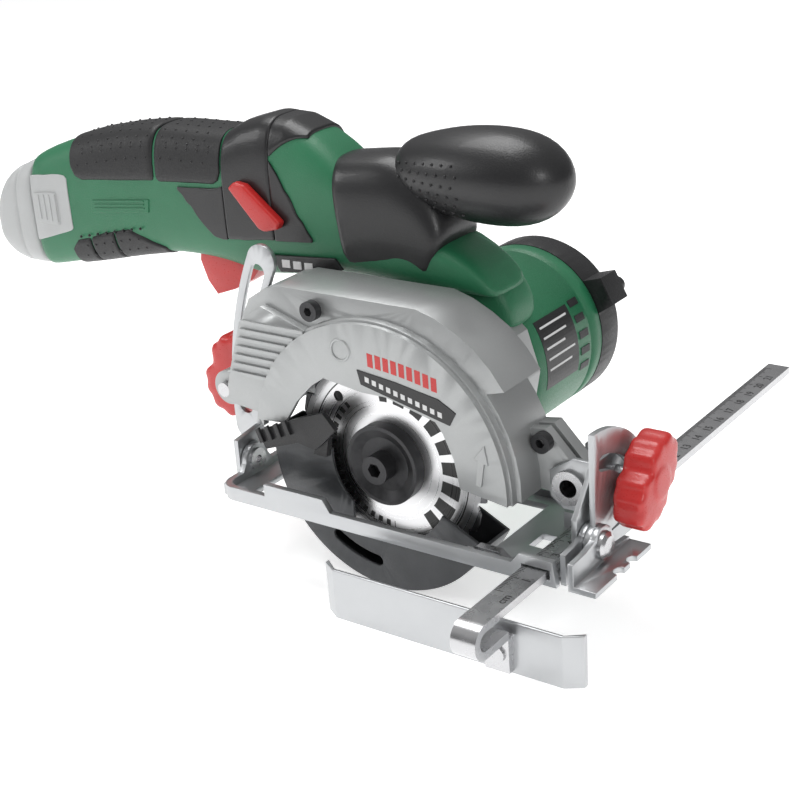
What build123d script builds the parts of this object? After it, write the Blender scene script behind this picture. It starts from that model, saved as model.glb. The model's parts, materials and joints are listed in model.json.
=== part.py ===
"""Cordless mini circular saw with a two-lever tilting base and a parallel guide.

Millimetres. +X is the cutting direction, +Z is up and +Y points to the motor side.
The blade lies in the plane Y = 0, its axis is above X = 0, and Z = 0 is the underside of the sole.
"""
from build123d import *
from math import atan2, cos, degrees, hypot, pi, radians, sin
import os

os.makedirs("parts", exist_ok=True)

# ---- driving dimensions -------------------------------------------------------------------
blade_r = 42.5                 # 85 mm blade
blade_bore_r = 7.5             # 15 mm bore
blade_t = 1.1                  # kerf
blade_teeth = 20
axis_z = 20.5                  # blade axis above the sole's underside as it is set
sheet = 2.5                    # steel sheet of the sole
sole_x0, sole_x1 = -67.5, 83.2
sole_y0, sole_y1 = -22.9, 33.5
rim_h = 5.5                    # rolled rim of the sole
open_x0, open_x1 = -55.5, 52.0  # blade opening
open_y0, open_y1 = -16.5, 26.0
bevel_y, bevel_z = -2.0, 8.5   # tilting axis, along X
depth_x, depth_z = 72.7, 23.0  # depth pivot, along Y
strap_r = 147.0                # slot of the depth strap, about the depth pivot
wing_r = 28.5                  # bevel clamp bolt, from the tilting axis
wing_a = 55.0                  # its direction from straight up, towards +Y
drum_r = 59.4                  # outside of the upper guard
drum_y0, drum_y1 = -9.5, 20.0
guard_in = 54.8                # inside of the upper guard
lower_r = 50.0                 # outside of the lower guard
bar_x0, bar_x1 = 70.4, 80.0    # guide bar
bar_z0, bar_t = 2.7, 3.0
bar_y0, bar_y1 = -62.0, 184.0
fence_y = -44.5
fence_top, fence_low = -2.0, -21.5
handle_y = 39.0                # middle plane of the handle and the housing
wall = 2.3                     # plastic wall
motor_x, motor_z = 2.0, 42.0   # motor axis, along Y
motor_r = 34.4
motor_y0, motor_y1 = 46.0, 97.0
cap_y1 = 114.0
out_teeth, mid_pinion_teeth, out_module = 21, 12, 1.0
mid_teeth, rotor_teeth, mid_module = 60, 10, 0.6
out_y0, out_y1 = 27.0, 33.0    # second gear stage
mid_y0, mid_y1 = 37.0, 41.0    # first gear stage
play = 0.05                    # running clearance of a shaft
gap = 0.3                      # clearance between moving bodies

# middle gear's axis: where the two centre distances meet
out_centres = out_module * (out_teeth + mid_pinion_teeth) / 2
mid_centres = mid_module * (mid_teeth + rotor_teeth) / 2
span = hypot(motor_x, motor_z - axis_z)
lean = atan2(motor_z - axis_z, motor_x)
corner = (out_centres**2 + span**2 - mid_centres**2) / (2 * out_centres * span)
corner = atan2((1 - corner**2) ** 0.5, corner)
mid_x = out_centres * cos(lean + corner)
mid_z = axis_z + out_centres * sin(lean + corner)


def at_y(y):
    """Sketch plane seen from the blade side: X to the right, Z up, at depth y."""
    return Plane.XZ.offset(-y)


def to_y(length, mode=Mode.ADD):
    """Extrude the last sketch away from the blade side."""
    extrude(amount=-length, mode=mode)


def disc(x, z, y0, y1, r, mode=Mode.ADD):
    """Cylinder along Y."""
    with BuildSketch(at_y(y0)) as face:
        with Locations((x, z)):
            Circle(r)
    extrude(face.sketch, amount=y0 - y1, mode=mode)


def plate_y(points, y0, y1, mode=Mode.ADD):
    """Flat plate with the given X, Z outline."""
    with BuildSketch(at_y(y0)) as face:
        Polygon(*points, align=None)
    extrude(face.sketch, amount=y0 - y1, mode=mode)


def disc_x(y, z, x0, x1, r, mode=Mode.ADD):
    """Cylinder along X."""
    with BuildSketch(Plane.YZ.offset(x0)) as face:
        with Locations((y, z)):
            Circle(r)
    extrude(face.sketch, amount=x1 - x0, mode=mode)


def plate_x(points, x0, x1, mode=Mode.ADD):
    """Flat plate with the given Y, Z outline."""
    with BuildSketch(Plane.YZ.offset(x0)) as face:
        Polygon(*points, align=None)
    extrude(face.sketch, amount=x1 - x0, mode=mode)


def block(x0, x1, y0, y1, z0, z1, mode=Mode.ADD):
    """Upright box."""
    with BuildSketch(Plane.XY.offset(z0)) as face:
        with Locations(((x0 + x1) / 2, (y0 + y1) / 2)):
            Rectangle(x1 - x0, y1 - y0)
    extrude(face.sketch, amount=z1 - z0, mode=mode)


def ring(x, z, y0, y1, r_out, r_in):
    """Tube along Y."""
    with BuildSketch(at_y(y0)) as face:
        with Locations((x, z)):
            Circle(r_out)
            Circle(r_in, mode=Mode.SUBTRACT)
    extrude(face.sketch, amount=y0 - y1)


def polar(r, angle, x=0.0, z=axis_z):
    """Point at a radius and an angle from +X about the blade axis."""
    return (x + r * cos(radians(angle)), z + r * sin(radians(angle)))


def sector(r, a0, a1, x=0.0, z=axis_z, steps=12):
    """Points of a pie slice that reaches past the radius r."""
    turn = (a1 - a0) / steps
    return [(x, z)] + [polar(r, a0 + turn * i, x, z) for i in range(steps + 1)]


def arc_slot(x, z, r, a0, a1, half, y0, y1, mode=Mode.ADD):
    """Round-ended slot that follows an arc about (x, z), along Y."""
    with BuildSketch(at_y(y0)) as face:
        with Locations((x, z)):
            Circle(r + half)
            Circle(r - half, mode=Mode.SUBTRACT)
        Polygon(*sector(1.6 * r, a0, a1, x, z), align=None, mode=Mode.INTERSECT)
        with Locations(polar(r, a0, x, z), polar(r, a1, x, z)):
            Circle(half)
    extrude(face.sketch, amount=y0 - y1, mode=mode)


def finish(builder, name):
    builder.part.label = name
    export_step(builder.part, f"parts/{name}.step")


# ---- sole ---------------------------------------------------------------------------------
# The rim is folded up all round. It is raised over the guide bar on both sides and over a
# long lug beside the blade opening, and it ends at the rear in the ear of the tilting axis.
bridge_x0, bridge_x1 = bar_x0 - 1.4, bar_x1 + 1.4
bridge_h = 9.4
lug = [(-44, 0), (-44, 10.4), (-16, 10.4), (-9, 0)]
bridge = [(bridge_x0 - 8, 0), (bridge_x0 - 0.5, bridge_h), (bridge_x1 + 0.4, bridge_h),
          (bridge_x1 + 1.8, 0)]
ear = [(sole_y0 + 3, 0), (sole_y0 + 3, rim_h - 1), (bevel_y - 8.5, rim_h), (bevel_y - 4, bevel_z + 4),
       (bevel_y + 4, bevel_z + 4), (bevel_y + 9, rim_h), (sole_y1 - 3, rim_h - 1), (sole_y1 - 3, 0)]
with BuildPart() as sole_plate:
    with BuildSketch(Plane.XY):
        with Locations(((sole_x0 + sole_x1) / 2, (sole_y0 + sole_y1) / 2)):
            RectangleRounded(sole_x1 - sole_x0, sole_y1 - sole_y0, 7)
    extrude(amount=rim_h)
    with BuildSketch(Plane.XY.offset(sheet)):
        with Locations(((sole_x0 + sole_x1) / 2 + 4, (sole_y0 + sole_y1) / 2)):
            RectangleRounded(sole_x1 - sole_x0 + 8 - 2 * sheet, sole_y1 - sole_y0 - 2 * sheet, 5)
    extrude(amount=rim_h, mode=Mode.SUBTRACT)
    for rim_y in (sole_y0, sole_y1 - sheet):
        plate_y(bridge, rim_y, rim_y + sheet)
        block(bridge_x0 + 0.6, bridge_x1 - 0.6, rim_y - 1, rim_y + sheet + 1, sheet, bar_z0 + bar_t + 0.5,
              Mode.SUBTRACT)
    plate_y(lug, sole_y0, sole_y0 + sheet)
    plate_x(ear, sole_x0, sole_x0 + sheet)
    disc_x(bevel_y, bevel_z, sole_x0, sole_x0 + sheet, 6.6)
    disc_x(bevel_y, bevel_z, sole_x0 - 1, sole_x0 + sheet + 1, 2.6, Mode.SUBTRACT)
    block(open_x0, open_x1, open_y0, open_y1, -1, sheet + 1, Mode.SUBTRACT)
    block(-44, 42, sole_y1 - sheet - 0.1, sole_y1 + 1, sheet, 12, Mode.SUBTRACT)
    # index window of the guide scale, on the cutting line
    block(61.5, 67.5, -4.5, 5.5, -1, sheet + 1, Mode.SUBTRACT)
    # front flange with the ear of the tilting axis
    plate_x([(sole_y0 + 3, 0), (sole_y0 + 3, 11.5), (sole_y0 + 9, 12), (bevel_y - 5.5, bevel_z + 4.5),
             (bevel_y + 5.5, bevel_z + 4.5), (bevel_y + 10, 6), (sole_y1 - 4, 6), (sole_y1 - 4, 0)],
            sole_x1, sole_x1 + 2.0)
    disc_x(bevel_y, bevel_z, sole_x1, sole_x1 + 2.0, 7)
    disc_x(bevel_y, bevel_z, sole_x1 - 1, sole_x1 + 3, 3.0, Mode.SUBTRACT)
finish(sole_plate, "sole_plate")

# formed steel loop beside the blade opening, a spring stop for the guide bar
with BuildPart() as guide_spring:
    with BuildSketch(at_y(-19.6)):
        Polygon((44, sheet), (47, sheet), (50, 5.2), (58, 5.2), (61, sheet), (64, sheet), (64, sheet + 1),
                (61.5, sheet + 1), (58.5, 6.2), (49.5, 6.2), (46.5, sheet + 1), (44, sheet + 1), align=None)
    to_y(3.0)
finish(guide_spring, "guide_spring")

# toothed-edge pointer plate with the two cutting-line notches
foot_x0, foot_x1 = sole_x1 + 4.4, sole_x1 + 15.0
with BuildPart() as front_foot:
    block(foot_x0, foot_x1, -22.9, 17.0, 0, 2.2)
    for notch_y in (-5.4, 4.0):
        with BuildSketch(Plane.XY):
            with Locations((foot_x1, notch_y)):
                Circle(2.6)
        extrude(amount=2.2, mode=Mode.SUBTRACT)
    plate_x([(-22.9, 0), (-22.9, 10.5), (-14, 11), (bevel_y - 5.6, bevel_z + 4), (bevel_y + 5.6, bevel_z + 4),
             (bevel_y + 9, 4), (17, 3), (17, 0)], foot_x0, foot_x0 + 2.2)
    disc_x(bevel_y, bevel_z, foot_x0, foot_x0 + 2.2, 7)
    disc_x(bevel_y, bevel_z, foot_x0 - 1, foot_x0 + 4, 3.0, Mode.SUBTRACT)
finish(front_foot, "front_foot")

# scale plate of the bevel: a sector about the tilting axis with a curved slot
quad_x0, quad_x1 = sole_x1 + 2.1, sole_x1 + 4.3
with BuildPart() as bevel_quadrant:
    with BuildSketch(Plane.YZ.offset(quad_x0)):
        with Locations((bevel_y, bevel_z)):
            Circle(40.5)
        Polygon((-3, 8), (24, 11), (34, 24), (60, 26), (60, -60), (-60, -60), (-60, 60), (-3, 60), align=None,
                mode=Mode.SUBTRACT)
        with Locations((bevel_y, bevel_z)):
            Circle(6.6)
            Circle(3.0, mode=Mode.SUBTRACT)
    extrude(amount=quad_x1 - quad_x0)
    with BuildSketch(Plane.YZ.offset(quad_x0 - 1)):
        with Locations((bevel_y, bevel_z)):
            Circle(wing_r + 3.0)
            Circle(wing_r - 3.0, mode=Mode.SUBTRACT)
        Polygon((bevel_y, bevel_z), (bevel_y + 9.6, bevel_z + 50), (bevel_y + 60, bevel_z + 60),
                (bevel_y + 60, bevel_z + 37.5), align=None, mode=Mode.INTERSECT)
        low_end, high_end = radians(wing_a - 45), radians(wing_a)
        with Locations((bevel_y + wing_r * sin(low_end), bevel_z + wing_r * cos(low_end)),
                       (bevel_y + wing_r * sin(high_end), bevel_z + wing_r * cos(high_end))):
            Circle(3.0)
    extrude(amount=4.2, mode=Mode.SUBTRACT)
finish(bevel_quadrant, "bevel_quadrant")

# domed rivet at the front and hollow rivet at the rear, on the tilting axis
with BuildPart() as bevel_rivets:
    disc_x(bevel_y, bevel_z, sole_x1 - 3.2, foot_x0 + 2.25, 3.0)
    with BuildSketch(Plane.XZ.offset(-bevel_y)):
        Polygon((foot_x0 + 2.25, bevel_z), (foot_x0 + 2.25, bevel_z + 5.2), (foot_x0 + 3.6, bevel_z + 5.0),
                (foot_x0 + 4.6, bevel_z + 3.6), (foot_x0 + 5.0, bevel_z), align=None)
    revolve(axis=Axis((0, bevel_y, bevel_z), (1, 0, 0)))
    with BuildSketch(Plane.YZ.offset(sole_x0 - 3.2)):
        with Locations((bevel_y, bevel_z)):
            Circle(2.6)
            Circle(1.6, mode=Mode.SUBTRACT)
    extrude(amount=sheet + 4.2)
    with BuildSketch(Plane.YZ.offset(sole_x0 + sheet)):
        with Locations((bevel_y, bevel_z)):
            Circle(4.4)
            Circle(1.6, mode=Mode.SUBTRACT)
    extrude(amount=1.0)
finish(bevel_rivets, "bevel_rivets")

# ---- guide bar and fence ------------------------------------------------------------------
curl_r = 6.4                   # outside radius of the turned-back end
with BuildPart() as guide_bar:
    with BuildSketch(Plane.YZ.offset(bar_x0)):
        Polygon((bar_y0, bar_z0), (bar_y1, bar_z0), (bar_y1, bar_z0 + bar_t), (bar_y0, bar_z0 + bar_t),
                align=None)
        with Locations((bar_y0, bar_z0 + bar_t - curl_r)):
            Circle(curl_r)
            Circle(curl_r - bar_t, mode=Mode.SUBTRACT)
        Polygon((bar_y0, -20), (bar_y0 + 20, -20), (bar_y0 + 20, bar_z0), (bar_y0, bar_z0), align=None,
                mode=Mode.SUBTRACT)
        return_z = bar_z0 + bar_t - 2 * curl_r
        Polygon((bar_y0, return_z), (fence_y - 4, return_z), (fence_y - 4, return_z + bar_t),
                (bar_y0, return_z + bar_t), align=None)
        Polygon((fence_y - 4, return_z + bar_t), (fence_y - 1.5 - bar_t, return_z + bar_t),
                (fence_y - 1.5 - bar_t, fence_low + 1.5), (fence_y - 1.5, fence_low + 1.5),
                (fence_y - 1.5, return_z + 1), (fence_y - 4, return_z), align=None)
    extrude(amount=bar_x1 - bar_x0)
finish(guide_bar, "guide_bar")

fence_x0, fence_x1 = 4.5, 99.5
with BuildPart() as fence_plate:
    with BuildSketch(Plane.XY.offset(fence_low)):
        Polygon((fence_x0 - 5, fence_y + 4.4), (fence_x0 - 5, fence_y + 2.2), (fence_x0 + 1, fence_y - 1.5),
                (fence_x1 - 1, fence_y - 1.5), (fence_x1 + 5, fence_y + 2.2), (fence_x1 + 5, fence_y + 4.4),
                (fence_x1 - 1, fence_y), (fence_x0 + 1, fence_y), align=None)
    extrude(amount=fence_top - fence_low)
finish(fence_plate, "fence_plate")

with BuildPart() as fence_rivet:
    disc((bar_x0 + bar_x1) / 2, -13.5, fence_y - 1.5 - bar_t - 0.9, fence_y - 1.5 - bar_t, 3.2)
finish(fence_rivet, "fence_rivet")

# ---- tilting frame ------------------------------------------------------------------------
# Front bracket: a plate across the bar on the tilting axis, with two ears for the depth pivot.
bolt_y = bevel_y + wing_r * sin(radians(wing_a))
bolt_z = bevel_z + wing_r * cos(radians(wing_a))
swing_x0, swing_x1 = sole_x1 - 2.4, sole_x1 - 0.3
ear_near, ear_far = 6.0, 31.0
with BuildPart() as swivel_bracket:
    plate_x([(bevel_y - 6, bevel_z + 1), (bevel_y - 6, bevel_z + 10), (ear_near, 34), (ear_far + 2.2, 34),
             (ear_far + 2.2, 13), (20, 11), (bevel_y + 5.4, bevel_z)], swing_x0, swing_x1)
    disc_x(bevel_y, bevel_z, swing_x0, swing_x1, 5.6)
    disc_x(bevel_y, bevel_z, swing_x0 - 1, swing_x1 + 1, 3.0 + play, Mode.SUBTRACT)
    disc_x(bolt_y, bolt_z, swing_x0 - 1, swing_x1 + 1, 2.5, Mode.SUBTRACT)
    for ear_y in (ear_near, ear_far):
        plate_y([(depth_x - 3, depth_z - 9), (swing_x1, depth_z - 9), (swing_x1, 34), (depth_x + 1, 34),
                 (depth_x - 8, depth_z + 5), (depth_x - 8, depth_z - 5)], ear_y, ear_y + 2.2)
        disc(depth_x, depth_z, ear_y, ear_y + 2.2, 8)
        disc(depth_x, depth_z, ear_y - 1, ear_y + 3, 4.6, Mode.SUBTRACT)
finish(swivel_bracket, "swivel_bracket")

# Hollow pin of the depth pivot, with its collar nut on the far end.
with BuildPart() as depth_pivot_pin:
    ring(depth_x, depth_z, ear_near - 1.6, ear_near, 6.4, 3.4)
    ring(depth_x, depth_z, ear_near, ear_far + 2.2, 4.6, 3.4)
finish(depth_pivot_pin, "depth_pivot_pin")

with BuildPart() as pivot_cap_nut:
    with BuildSketch(at_y(ear_far + 2.2)):
        with Locations((depth_x, depth_z)):
            RegularPolygon(7.2, 6)
    to_y(5)
    disc(depth_x, depth_z, ear_far + 7.2, ear_far + 10, 6)
finish(pivot_cap_nut, "pivot_cap_nut")

# Rear bracket: a plate on the tilting axis that turns into the slotted depth strap.
rear_x0, rear_x1 = sole_x0 - 2.6, sole_x0 - 0.4
strap_y0, strap_y1 = 5.2, 7.2
strap_half = 6.6
rear_clamp_a = 174.1
with BuildPart() as depth_strap:
    plate_x([(bevel_y - 7, 4), (bevel_y - 7, 18), (strap_y1, 20), (strap_y1, 4)], rear_x0, rear_x1)
    disc_x(bevel_y, bevel_z, rear_x0, rear_x1, 7)
    disc_x(bevel_y, bevel_z, rear_x0 - 1, rear_x1 + 1, 2.6 + play, Mode.SUBTRACT)
    arc_slot(depth_x, depth_z, strap_r, 153.5, 182.0, strap_half, strap_y0, strap_y1)
    arc_slot(depth_x, depth_z, strap_r, 155.5, 178.5, 3.4, strap_y0 - 1, strap_y1 + 1, Mode.SUBTRACT)
finish(depth_strap, "depth_strap")


def wing(plane, turn, thick):
    """Two-lobed wing grip standing on a plane and turned about its normal."""
    with BuildSketch(plane) as face:
        with Locations(Rotation(0, 0, turn)):
            Circle(8.4)
            with Locations((0, 9.5), (0, -9.5)):
                RectangleRounded(18, 14, 6)
    extrude(face.sketch, amount=thick)


front_wing_x0 = quad_x1 + 1.8
with BuildPart() as front_wing_knob:
    wing(Plane(origin=(front_wing_x0, bolt_y - 3, bolt_z + 1), x_dir=(0, 1, 0), z_dir=(1, 0, 0)), -42, 12)
    disc_x(bolt_y, bolt_z, front_wing_x0 - 1, front_wing_x0 + 9, 2.55, Mode.SUBTRACT)
finish(front_wing_knob, "front_wing_knob")

with BuildPart() as front_clamp_bolt:
    disc_x(bolt_y, bolt_z, swing_x0 - 1.7, swing_x0, 4.4)
    disc_x(bolt_y, bolt_z, swing_x0, front_wing_x0 + 8.5, 2.5)
    disc_x(bolt_y, bolt_z, quad_x1 + 0.1, front_wing_x0 - 0.2, 6.2)
finish(front_clamp_bolt, "front_clamp_bolt")

clamp_x = depth_x + strap_r * cos(radians(rear_clamp_a))
clamp_z = depth_z + strap_r * sin(radians(rear_clamp_a))
with BuildPart() as rear_wing_knob:
    wing(Plane(origin=(clamp_x - 8, 10.0, clamp_z - 3), x_dir=(1, 0, 0), z_dir=(0, 1, 0)), 40, 14)
    with BuildSketch(at_y(10.0)):
        with Locations((clamp_x - 22, clamp_z - 4)):
            Circle(9)
    to_y(14)
    disc(clamp_x, clamp_z, 9.0, 20.0, 2.95, Mode.SUBTRACT)
finish(rear_wing_knob, "rear_wing_knob")

with BuildPart() as rear_clamp_bolt:
    disc(clamp_x, clamp_z, -7.5, 19.5, 2.9)
    disc(clamp_x, clamp_z, 7.4, 9.8, 7.0)
finish(rear_clamp_bolt, "rear_clamp_bolt")

# ---- guide clamp --------------------------------------------------------------------------
with BuildPart() as bar_clamp_bridge:
    block(65.5, 79.5 + 2.0, 13.5, 25.5, sheet, 8.6)
    block(bar_x0 - 0.6, bar_x1 + 0.6, 13, 26, sheet - 1, bar_z0 + bar_t + 0.4, Mode.SUBTRACT)
    with BuildSketch(Plane.XY.offset(5)):
        with Locations((75.2, 19.5)):
            Circle(2.0)
    extrude(amount=5, mode=Mode.SUBTRACT)
finish(bar_clamp_bridge, "bar_clamp_bridge")

with BuildPart() as bar_clamp_screw:
    with BuildSketch(Plane.XY.offset(bar_z0 + bar_t + 0.1)):
        with Locations((75.2, 19.5)):
            Circle(1.95)
    extrude(amount=3)
    with BuildSketch(Plane.XY.offset(8.7)):
        with Locations((75.2, 19.5)):
            Circle(5.2)
    extrude(amount=4.2)
finish(bar_clamp_screw, "bar_clamp_screw")

# ---- blade and gear train -----------------------------------------------------------------
tooth_r = blade_r - 3.2
teeth = []
for i in range(blade_teeth):
    a = i * 360 / blade_teeth + 7
    teeth += [polar(blade_r, a), polar(blade_r - 0.4, a + 3.5), polar(blade_r - 1.2, a + 10),
              polar(tooth_r, a + 13.5), polar(tooth_r, a + 16)]
with BuildPart() as saw_blade:
    plate_y(teeth, -blade_t / 2, blade_t / 2)
    disc(0, axis_z, -1, 1, blade_bore_r, Mode.SUBTRACT)
    for i in range(4):
        hx, hz = polar(31, 45 + 90 * i)
        disc(hx, hz, -1, 1, 2.2, Mode.SUBTRACT)
finish(saw_blade, "saw_blade")

with BuildPart() as outer_flange:
    with BuildSketch(Plane.YZ):
        Polygon((-0.55, axis_z + 4.05), (-0.55, axis_z + 15.7), (-6, axis_z + 15.7), (-6, axis_z + 14.2),
                (-4, axis_z + 10.6), (-4, axis_z + 4.05), align=None)
    revolve(axis=Axis((0, 0, axis_z), (0, 1, 0)))
finish(outer_flange, "outer_flange")

with BuildPart() as inner_flange:
    ring(0, axis_z, 0.55, 4.0, 15.7, 6.0)
    ring(0, axis_z, -0.5, 0.55, blade_bore_r - 0.02, 6.0)
finish(inner_flange, "inner_flange")

with BuildPart() as spindle:
    disc(0, axis_z, -0.5, 35.5, 6.0)
    disc(0, axis_z, -1, 14, 3.0, Mode.SUBTRACT)
finish(spindle, "spindle")

with BuildPart() as arbor_bolt:
    disc(0, axis_z, -4.0, 13.0, 3.0)
    disc(0, axis_z, -10.6, -4.0, 5.6)
    with BuildSketch(at_y(-10.6)):
        with Locations((0, axis_z)):
            RegularPolygon(2.9, 6)
    to_y(4, Mode.SUBTRACT)
finish(arbor_bolt, "arbor_bolt")


def gear(x, z, count, module, y0, y1, turn=0.0):
    """Spur gear with straight-flanked teeth, thinned for backlash."""
    step = 360 / count
    root = module * (count / 2 - 1.25)
    tip = module * (count / 2 + 0.9)
    pts = []
    for i in range(count):
        a = i * step + turn
        pts.append(polar(root, a - 0.30 * step, x, z))
        pts.append(polar(tip, a - 0.11 * step, x, z))
        pts.append(polar(tip, a + 0.11 * step, x, z))
        pts.append(polar(root, a + 0.30 * step, x, z))
    plate_y(pts, y0, y1)


out_dir = degrees(atan2(mid_z - axis_z, mid_x))
with BuildPart() as output_gear:
    gear(0, axis_z, out_teeth, out_module, out_y0, out_y1, out_dir)
    disc(0, axis_z, out_y0 - 1, out_y1 + 1, 6.0, Mode.SUBTRACT)
finish(output_gear, "output_gear")

rotor_dir = degrees(atan2(motor_z - mid_z, motor_x - mid_x))
with BuildPart() as idler_gears:
    gear(mid_x, mid_z, mid_pinion_teeth, out_module, out_y0 - 0.5, mid_y0, out_dir + 180 + 15)
    gear(mid_x, mid_z, mid_teeth, mid_module, mid_y0, mid_y1, rotor_dir)
    disc(mid_x, mid_z, out_y0 - 2, mid_y1 + 1, 3.0, Mode.SUBTRACT)
finish(idler_gears, "idler_gears")

with BuildPart() as idler_pin:
    disc(mid_x, mid_z, 22.3, mid_y1 + 0.5, 3.0 - play)
finish(idler_pin, "idler_pin")

with BuildPart() as rotor_shaft:
    gear(motor_x, motor_z, rotor_teeth, mid_module, mid_y0, mid_y1, rotor_dir + 180 + 18)
    disc(motor_x, motor_z, mid_y1, 104.0, 2.2)
finish(rotor_shaft, "rotor_shaft")

with BuildPart() as rotor_core:
    ring(motor_x, motor_z, 58, 86, 13.5, 2.2)
    for i in range(9):
        cx, cz = polar(13.5, 40 * i, motor_x, motor_z)
        disc(cx, cz, 57, 87, 1.6, Mode.SUBTRACT)
    ring(motor_x, motor_z, 90, 97, 5.5, 2.2)
finish(rotor_core, "rotor_core")

with BuildPart() as cooling_fan:
    ring(motor_x, motor_z, 50, 51.6, 18, 2.2)
    ring(motor_x, motor_z, 51.6, 55.5, 5, 2.2)
    for i in range(11):
        a = 360 / 11 * i
        plate_y([polar(4.6, a - 3, motor_x, motor_z), polar(17.5, a + 13, motor_x, motor_z),
                 polar(17.5, a + 17, motor_x, motor_z), polar(4.6, a + 9, motor_x, motor_z)], 51.6, 55.5)
finish(cooling_fan, "cooling_fan")

# ---- guards -------------------------------------------------------------------------------
low_a0, low_a1 = 172.0, 333.0
with BuildPart() as lower_guard:
    with BuildSketch(at_y(-7.2)):
        with Locations((0, axis_z)):
            Circle(lower_r)
        Polygon(*sector(80, low_a0, low_a1), align=None, mode=Mode.INTERSECT)
    to_y(17.7)
    with BuildSketch(at_y(-5.9)):
        with Locations((0, axis_z)):
            Circle(lower_r - 1.4)
    to_y(15.0, Mode.SUBTRACT)
    disc(0, axis_z, 9.1, 10.5, 24)
    disc(0, axis_z, 9.1, 15.0, 20)
    disc(0, axis_z, -8, 16, 17.0, Mode.SUBTRACT)
    disc(0, axis_z, -8, -4, 22.0, Mode.SUBTRACT)
    with BuildSketch(at_y(-8)):
        with Locations((0, axis_z)):
            Circle(30)
        Polygon((-14, axis_z + 8), (60, axis_z + 8), (60, -60), (-14, -60), align=None, mode=Mode.INTERSECT)
    to_y(4, Mode.SUBTRACT)
    arc_slot(0, axis_z, 40, 236, 264, 2.2, -9, -4, Mode.SUBTRACT)
finish(lower_guard, "lower_guard")

# The arm reaches out through the window of the upper guard and ends in a ribbed grip.
with BuildPart() as guard_lever:
    plate_y([polar(22.6, 179), polar(28.8, 179), polar(28.8, 158), polar(22.6, 158)], -9.9, -7.2)
    plate_y([(-54, 26.4), (-33, 35.6), (-21, 40), (-15.5, 34), (-22, 27.5), (-26, 24), (-34, 25.4),
             (-50.4, 19.6)], -12.2, -9.9)
    for i in range(4):
        x, z = -52 + 4.6 * i, 22.2 + 1.9 * i
        plate_y([(x, z), (x + 1.8, z + 0.7), (x - 0.4, z + 6.2), (x - 2.0, z + 5.2)], -13.4, -12.2)
finish(guard_lever, "guard_lever")

outline = [(-74, 32), (-70.5, 46), (-63, 67.5), (-58, 77), (-50, 82), (-43, 84), (19, 84), (27, 81.6),
           (35, 77.6), (42, 73), (48.6, 66.4), (54, 59)]
outline += [polar(drum_r, a) for a in (38, 30, 22, 14, 6, -2)]
inner = [(-66, 34), (-64, 46), (-57, 66), (-53, 74), (-41, 80.5), (18, 80.5), (40, 70), (50, 58), (56, 40),
         (56, 20)]
window = [(-90, 31), (-74, 32), (-56, 30), (-42, 31), (-39, 35), (-35, 41), (-27, 49), (-21, 53), (-4, 50.5),
          (7, 50.5), (28, 45), (31, 41), (35, 32), (37, 21), (57, 18), (90, 18), (90, -80), (-90, -80)]
with BuildPart() as upper_guard:
    plate_y(outline, -4.5, drum_y1)
    plate_y([(-73, 34), (-69, 47), (-61.5, 68), (-50, 76), (0, 60), (0, 32)], drum_y0 + 2, -4.5)
    disc(0, axis_z, drum_y0, -7.5, 56.4)
    disc(0, axis_z, -7.5, -4.5, 57.4)
    with BuildSketch(at_y(-7.5)):
        with Locations((0, axis_z)):
            Circle(guard_in)
    to_y(drum_y1 - 2 + 7.5, Mode.SUBTRACT)
    with BuildSketch(at_y(0)):
        Polygon(*inner, align=None)
        with Locations((0, axis_z)):
            Circle(drum_r, mode=Mode.SUBTRACT)
        with Locations((-25.5, 78), (clamp_x, clamp_z)):
            Circle(7, mode=Mode.SUBTRACT)
    to_y(drum_y1 - 2, Mode.SUBTRACT)
    disc(clamp_x, clamp_z, -4.5, strap_y0 - 0.4, 7.0)
    plate_y(window, -10, -7.5, Mode.SUBTRACT)
    plate_y([(-90, -80), (-90, 31), (-56, 29), (-50, 20), (60, 17.8), (90, 17.8), (90, -80)], -7.5, 30,
            Mode.SUBTRACT)
    # clear of the strap and its wing nut behind the rear block, over the whole swing
    with BuildSketch(at_y(strap_y0 - 0.4)):
        with Locations((depth_x, depth_z)):
            Circle(strap_r + 20)
            Circle(strap_r - strap_half - 0.4, mode=Mode.SUBTRACT)
        Polygon((depth_x, depth_z), (-120, -20), (-120, 140), (-20, 140), align=None, mode=Mode.INTERSECT)
    to_y(30, Mode.SUBTRACT)
    block(-100, -63.5, 9.6, 30, 14, 60, Mode.SUBTRACT)
    disc(clamp_x, clamp_z, -20, 30, 2.9, Mode.SUBTRACT)
    disc(0, axis_z, 17, 22, 30, Mode.SUBTRACT)
    # arm to the depth pivot
    for arm_y0, arm_y1 in ((8.6, 12.6), (14.6, drum_y1)):
        plate_y([(56.8, 19), (55.6, 41), (62, 42), (depth_x + 2, depth_z + 5.6), (depth_x, depth_z - 6)],
                arm_y0, arm_y1)
        disc(depth_x, depth_z, arm_y0, arm_y1, 6.0)
    disc(depth_x, depth_z, 0, 30, 4.6 + play, Mode.SUBTRACT)
    # level ribs on the rear cheek, from its edge to the drum
    for i in range(7):
        rib_z = 46.6 + 3.6 * i
        rib_x0 = -67.4 + 1.3 * i
        rib_x1 = 0.4 - (56.4 ** 2 - (rib_z - axis_z) ** 2) ** 0.5
        block(rib_x0, rib_x1, drum_y0 + 0.9, drum_y0 + 2.2, rib_z, rib_z + 1.3)
finish(upper_guard, "upper_guard")

with BuildPart() as guard_screws:
    for sx, sz in ((-25.5, 78), (61.5, 37.5)):
        with BuildSketch(at_y(-9.5 if sx < 0 else 5.2)):
            with Locations((sx, sz)):
                Circle(3.8)
                RegularPolygon(1.8, 6, mode=Mode.SUBTRACT)
        to_y(3.4)
finish(guard_screws, "guard_screws")

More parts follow.
